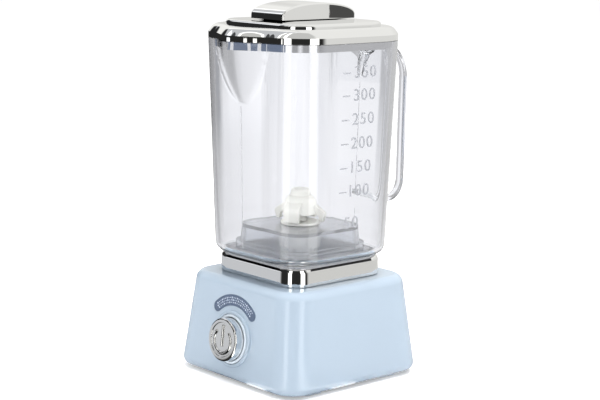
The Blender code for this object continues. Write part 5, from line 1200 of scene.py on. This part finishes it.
def room_group():
    """What plated and clear pieces see of the studio: panels, strips and a window.

    Bearing and Height are in degrees, Reach is the distance on the floor in metres, and Aside
    is how far a place lies from the middle of the pale strip behind the toy.
    """
    group = bpy.data.node_groups.new("studio_room", "ShaderNodeTree")
    for name in ("Bearing", "Height", "Reach", "Aside"):
        group.interface.new_socket(name, in_out="INPUT", socket_type="NodeSocketFloat")
    for name in ("Mirrored", "Through"):
        group.interface.new_socket(name, in_out="OUTPUT", socket_type="NodeSocketColor")
    given = group.nodes.new("NodeGroupInput")
    out = group.nodes.new("NodeGroupOutput")
    bearing, height = given.outputs["Bearing"], given.outputs["Height"]
    reach, aside = given.outputs["Reach"], given.outputs["Aside"]

    def times(*values):
        """The product of sockets and numbers."""
        result = values[0]
        for value in values[1:]:
            result = calc(group, "MULTIPLY", result, value)
        return result

    def without(value):
        """One where the value is nothing, and the other way round."""
        return calc(group, "SUBTRACT", 1.0, value)

    ground = ramp(group, height, -1.0, 1.0, 1.0, 0.0)
    sky = without(ground)
    close = ramp(group, reach, 0.6, 0.9, 1.0, 0.0)
    far = without(close)
    right = total(group, ramp(group, bearing, 98.0, 112.0),
                  ramp(group, bearing, -131.0, -124.0, 1.0, 0.0))
    left = band(group, bearing, -104.0, -30.0, 8.0)

    dark_block = times(band(group, bearing, 132.58, 134.2, 0.02),
                       ramp(group, reach, 2.60, 2.62), ground)
    right_part = times(right, without(times(dark_block, 0.93)),
                       ramp(group, height, -1.0, 30.0, 0.76, 0.92),
                       without(times(close, ground, 0.12)))
    near_part = times(left, ground, close, 0.62)
    stripes = times(total(group, band(group, bearing, -55.0, -35.0, 1.0),
                          band(group, bearing, 5.2, 7.9, 0.3)),
                    ramp(group, reach, 2.18, 2.20, 1.0, 0.0), ground, far)
    panes = total(group, times(band(group, bearing, -73.0, -56.0, 1.0),
                               band(group, height, 33.0, 44.5, 1.0)),
                  times(total(group, band(group, bearing, -30.5, -24.5, 0.5),
                              band(group, bearing, -14.0, -3.0, 1.0)),
                        ramp(group, height, 42.0, 46.0)))
    dark_pane = times(band(group, bearing, -52.0, -38.0, 1.0), ramp(group, height, 40.0, 44.0),
                      ramp(group, height, 51.5, 52.5, 1.0, 0.0), 0.92)
    grey = times(without(dark_pane), 0.60,
                 total(group, times(band(group, bearing, -112.0, -58.0, 2.0),
                                    ramp(group, height, 24.0, 28.0)),
                       times(band(group, bearing, -58.0, 112.0, 2.0),
                             ramp(group, height, 40.0, 44.0))))
    pale = times(band(group, bearing, -127.0, -106.0, 3.0), sky, 0.95)
    strips = total(group, band(group, bearing, 12.0, 28.0, 1.5),
                   band(group, bearing, 71.0, 91.0, 1.5))
    strips = times(strips, ramp(group, height, 32.0, 38.0, 1.0, 0.0))
    grey = times(grey, without(right))
    unlit = 0.025
    mirrored = total(group, right_part, near_part, times(stripes, 1.5), times(panes, 1.0),
                     grey, pale, times(strips, 2.4), unlit)
    group.links.new(tinted(group, mirrored, left, (1.0, 0.998, 0.965), (0.97, 0.99, 1.02)),
                    out.inputs["Mirrored"])

    near = ramp(group, aside, 3.2, 13.0, 1.0, 0.0)
    window = times(band(group, bearing, -75.0, 11.0, 1.5), far, ground,
                   without(total(group, stripes, strips)))
    through = total(group, times(near, 0.45),
                    times(ramp(group, aside, 0.5, 3.0, 0.13, 0.0),
                          ramp(group, reach, 0.3, 1.2, 0.6, 1.0)),
                    times(strips, 0.8), times(right, 0.09), times(stripes, 0.5), 0.44)
    through = calc(group, "SUBTRACT", through, times(window, 0.18))
    group.links.new(tinted(group, through, window, (0.982, 0.986, 1.012), (0.74, 0.90, 1.25)),
                    out.inputs["Through"])
    return group


ROOM = room_group()


def bearing_of(tree, x, y):
    """The bearing of a place or a way, in degrees from the front towards the right."""
    return calc(tree, "MULTIPLY", calc(tree, "ARCTAN2", x, calc(tree, "MULTIPLY", y, -1.0)),
                180 / math.pi)


def ray_masks(tree):
    """Masks of camera rays, mirrored rays, rays through the clear jug, and light inside it."""
    paths = tree.nodes.new("ShaderNodeLightPath").outputs
    first = calc(tree, "LESS_THAN", paths["Diffuse Depth"], 0.5)
    passed = calc(tree, "MULTIPLY", paths["Is Transmission Ray"], first)
    glossy = calc(tree, "MULTIPLY", paths["Is Glossy Ray"],
                  calc(tree, "SUBTRACT", 1.0, paths["Is Transmission Ray"]))
    inside = calc(tree, "MULTIPLY", paths["Is Transmission Ray"],
                  calc(tree, "SUBTRACT", 1.0, first))
    return paths["Is Camera Ray"], calc(tree, "MULTIPLY", glossy, first), passed, inside


def blended(tree, first, second, factor):
    """The first shader, with the second in its place where the factor is one."""
    mixed = tree.nodes.new("ShaderNodeMixShader")
    tree.links.new(factor, mixed.inputs[0])
    tree.links.new(first, mixed.inputs[1])
    tree.links.new(second, mixed.inputs[2])
    return mixed.outputs[0]


# The pale strip behind the toy: its bearing in the world, and on the floor the way across it,
# in degrees for each metre
STRIP_BEARING = 131.22
STRIP_ACROSS_X, STRIP_ACROSS_Y, STRIP_DEGREES = 0.659, 0.752, 44.0


def studio_world():
    """White for the eye, an even light on the object, and the room for its reflections."""
    world = bpy.data.worlds.new("studio")
    bpy.context.scene.world = world
    world.use_nodes = True
    tree = world.node_tree
    tree.nodes.clear()
    way = tree.nodes.new("ShaderNodeTexCoord").outputs["Generated"]
    parts = tree.nodes.new("ShaderNodeSeparateXYZ")
    tree.links.new(way, parts.inputs[0])
    x, y, z = parts.outputs
    room = group_node(tree, ROOM)
    bearing = bearing_of(tree, x, y)
    tree.links.new(bearing, room.inputs["Bearing"])
    tree.links.new(calc(tree, "ABSOLUTE", calc(tree, "ADD", bearing, STRIP_BEARING)),
                   room.inputs["Aside"])
    tree.links.new(calc(tree, "MULTIPLY", calc(tree, "ARCSINE", z), 180 / math.pi),
                   room.inputs["Height"])
    room.inputs["Reach"].default_value = 50.0

    def sky(colour, strength):
        """One even or painted light all round."""
        made = tree.nodes.new("ShaderNodeBackground")
        if isinstance(colour, bpy.types.NodeSocket):
            tree.links.new(colour, made.inputs["Color"])
        else:
            made.inputs["Color"].default_value = colour
        made.inputs["Strength"].default_value = strength
        return made.outputs[0]

    camera, mirrored, passed, inside = ray_masks(tree)
    light = blended(tree, sky((1, 1, 1, 1), 0.72), sky((1, 1, 1, 1), 1.0), camera)
    light = blended(tree, light, sky((1, 1, 1, 1), 3.2), inside)
    light = blended(tree, light, sky(room.outputs["Mirrored"], 1.0), mirrored)
    light = blended(tree, light, sky(room.outputs["Through"], 1.0), passed)
    out = tree.nodes.new("ShaderNodeOutputWorld")
    tree.links.new(light, out.inputs["Surface"])


def soft_light(name, place, target, size, power):
    """A square lamp that lights the toy and isn't seen or mirrored itself."""
    data = bpy.data.lights.new(name, "AREA")
    data.shape = "SQUARE"
    data.size = size
    data.energy = power
    lamp = bpy.data.objects.new(name, data)
    bpy.context.scene.collection.objects.link(lamp)
    lamp.location = place
    lamp.rotation_euler = (Vector(target) - Vector(place)).to_track_quat("-Z", "Y").to_euler()
    lamp.visible_camera = lamp.visible_glossy = lamp.visible_transmission = False


def make_floor():
    """A wide pale floor that keeps the shadow and runs out to white."""
    lift = 0.33
    clear_choice()
    bpy.ops.mesh.primitive_plane_add(size=12, location=(0, 0, -0.1 * MM))
    floor = bpy.context.object
    floor.name = "studio_floor"
    made = bpy.data.materials.new("floor_white")
    made.use_nodes = True
    tree = made.node_tree
    shader = tree.nodes["Principled BSDF"]
    shader.inputs["Base Color"].default_value = (0.92, 0.92, 0.925, 1)
    shader.inputs["Roughness"].default_value = 0.9
    shader.inputs["Specular IOR Level"].default_value = 0.0

    def glow(colour, strength):
        """A light of the floor's own, white or painted."""
        shine = tree.nodes.new("ShaderNodeEmission")
        if isinstance(colour, bpy.types.NodeSocket):
            tree.links.new(colour, shine.inputs["Color"])
        if isinstance(strength, bpy.types.NodeSocket):
            tree.links.new(strength, shine.inputs["Strength"])
        else:
            shine.inputs["Strength"].default_value = strength
        return shine.outputs[0]

    place = tree.nodes.new("ShaderNodeTexCoord").outputs["Object"]
    parts = tree.nodes.new("ShaderNodeSeparateXYZ")
    tree.links.new(place, parts.inputs[0])
    room = group_node(tree, ROOM)
    x, y = parts.outputs[0], calc(tree, "SUBTRACT", parts.outputs[1], SHIFT_Y)
    tree.links.new(bearing_of(tree, x, y), room.inputs["Bearing"])
    strip_side = calc(tree, "ADD", calc(tree, "MULTIPLY", x, STRIP_ACROSS_X),
                      calc(tree, "MULTIPLY", y, STRIP_ACROSS_Y))
    tree.links.new(calc(tree, "MULTIPLY", calc(tree, "ABSOLUTE", strip_side), STRIP_DEGREES),
                   room.inputs["Aside"])
    across = calc(tree, "MULTIPLY", x, x)
    tree.links.new(calc(tree, "SQRT", calc(tree, "ADD", across, calc(tree, "MULTIPLY", y, y))),
                   room.inputs["Reach"])
    room.inputs["Height"].default_value = -10.0
    camera, mirrored, passed, _ = ray_masks(tree)
    both = tree.nodes.new("ShaderNodeAddShader")
    tree.links.new(shader.outputs[0], both.inputs[0])
    tree.links.new(glow((1, 1, 1, 1), calc(tree, "MULTIPLY", camera, lift)), both.inputs[1])
    look = blended(tree, both.outputs[0], glow(room.outputs["Mirrored"], 1.0), mirrored)
    look = blended(tree, look, glow(room.outputs["Through"], 1.0), passed)
    tree.links.new(look, tree.nodes["Material Output"].inputs["Surface"])
    floor.data.materials.append(made)


make_camera()
studio_world()
TOY_MIDDLE = (0, 0, 0.08)
soft_light("key", (0.9, -0.5, 1.1), TOY_MIDDLE, 0.9, 6.0)
soft_light("fill", (-0.8, -0.9, 0.7), TOY_MIDDLE, 0.8, 3.7)
soft_light("top", (0.1, 0.1, 1.3), TOY_MIDDLE, 0.8, 23.0)
make_floor()
bpy.context.scene.view_settings.view_transform = "Standard"
bpy.context.scene.cycles.max_bounces = 24
bpy.context.scene.cycles.transmission_bounces = 24
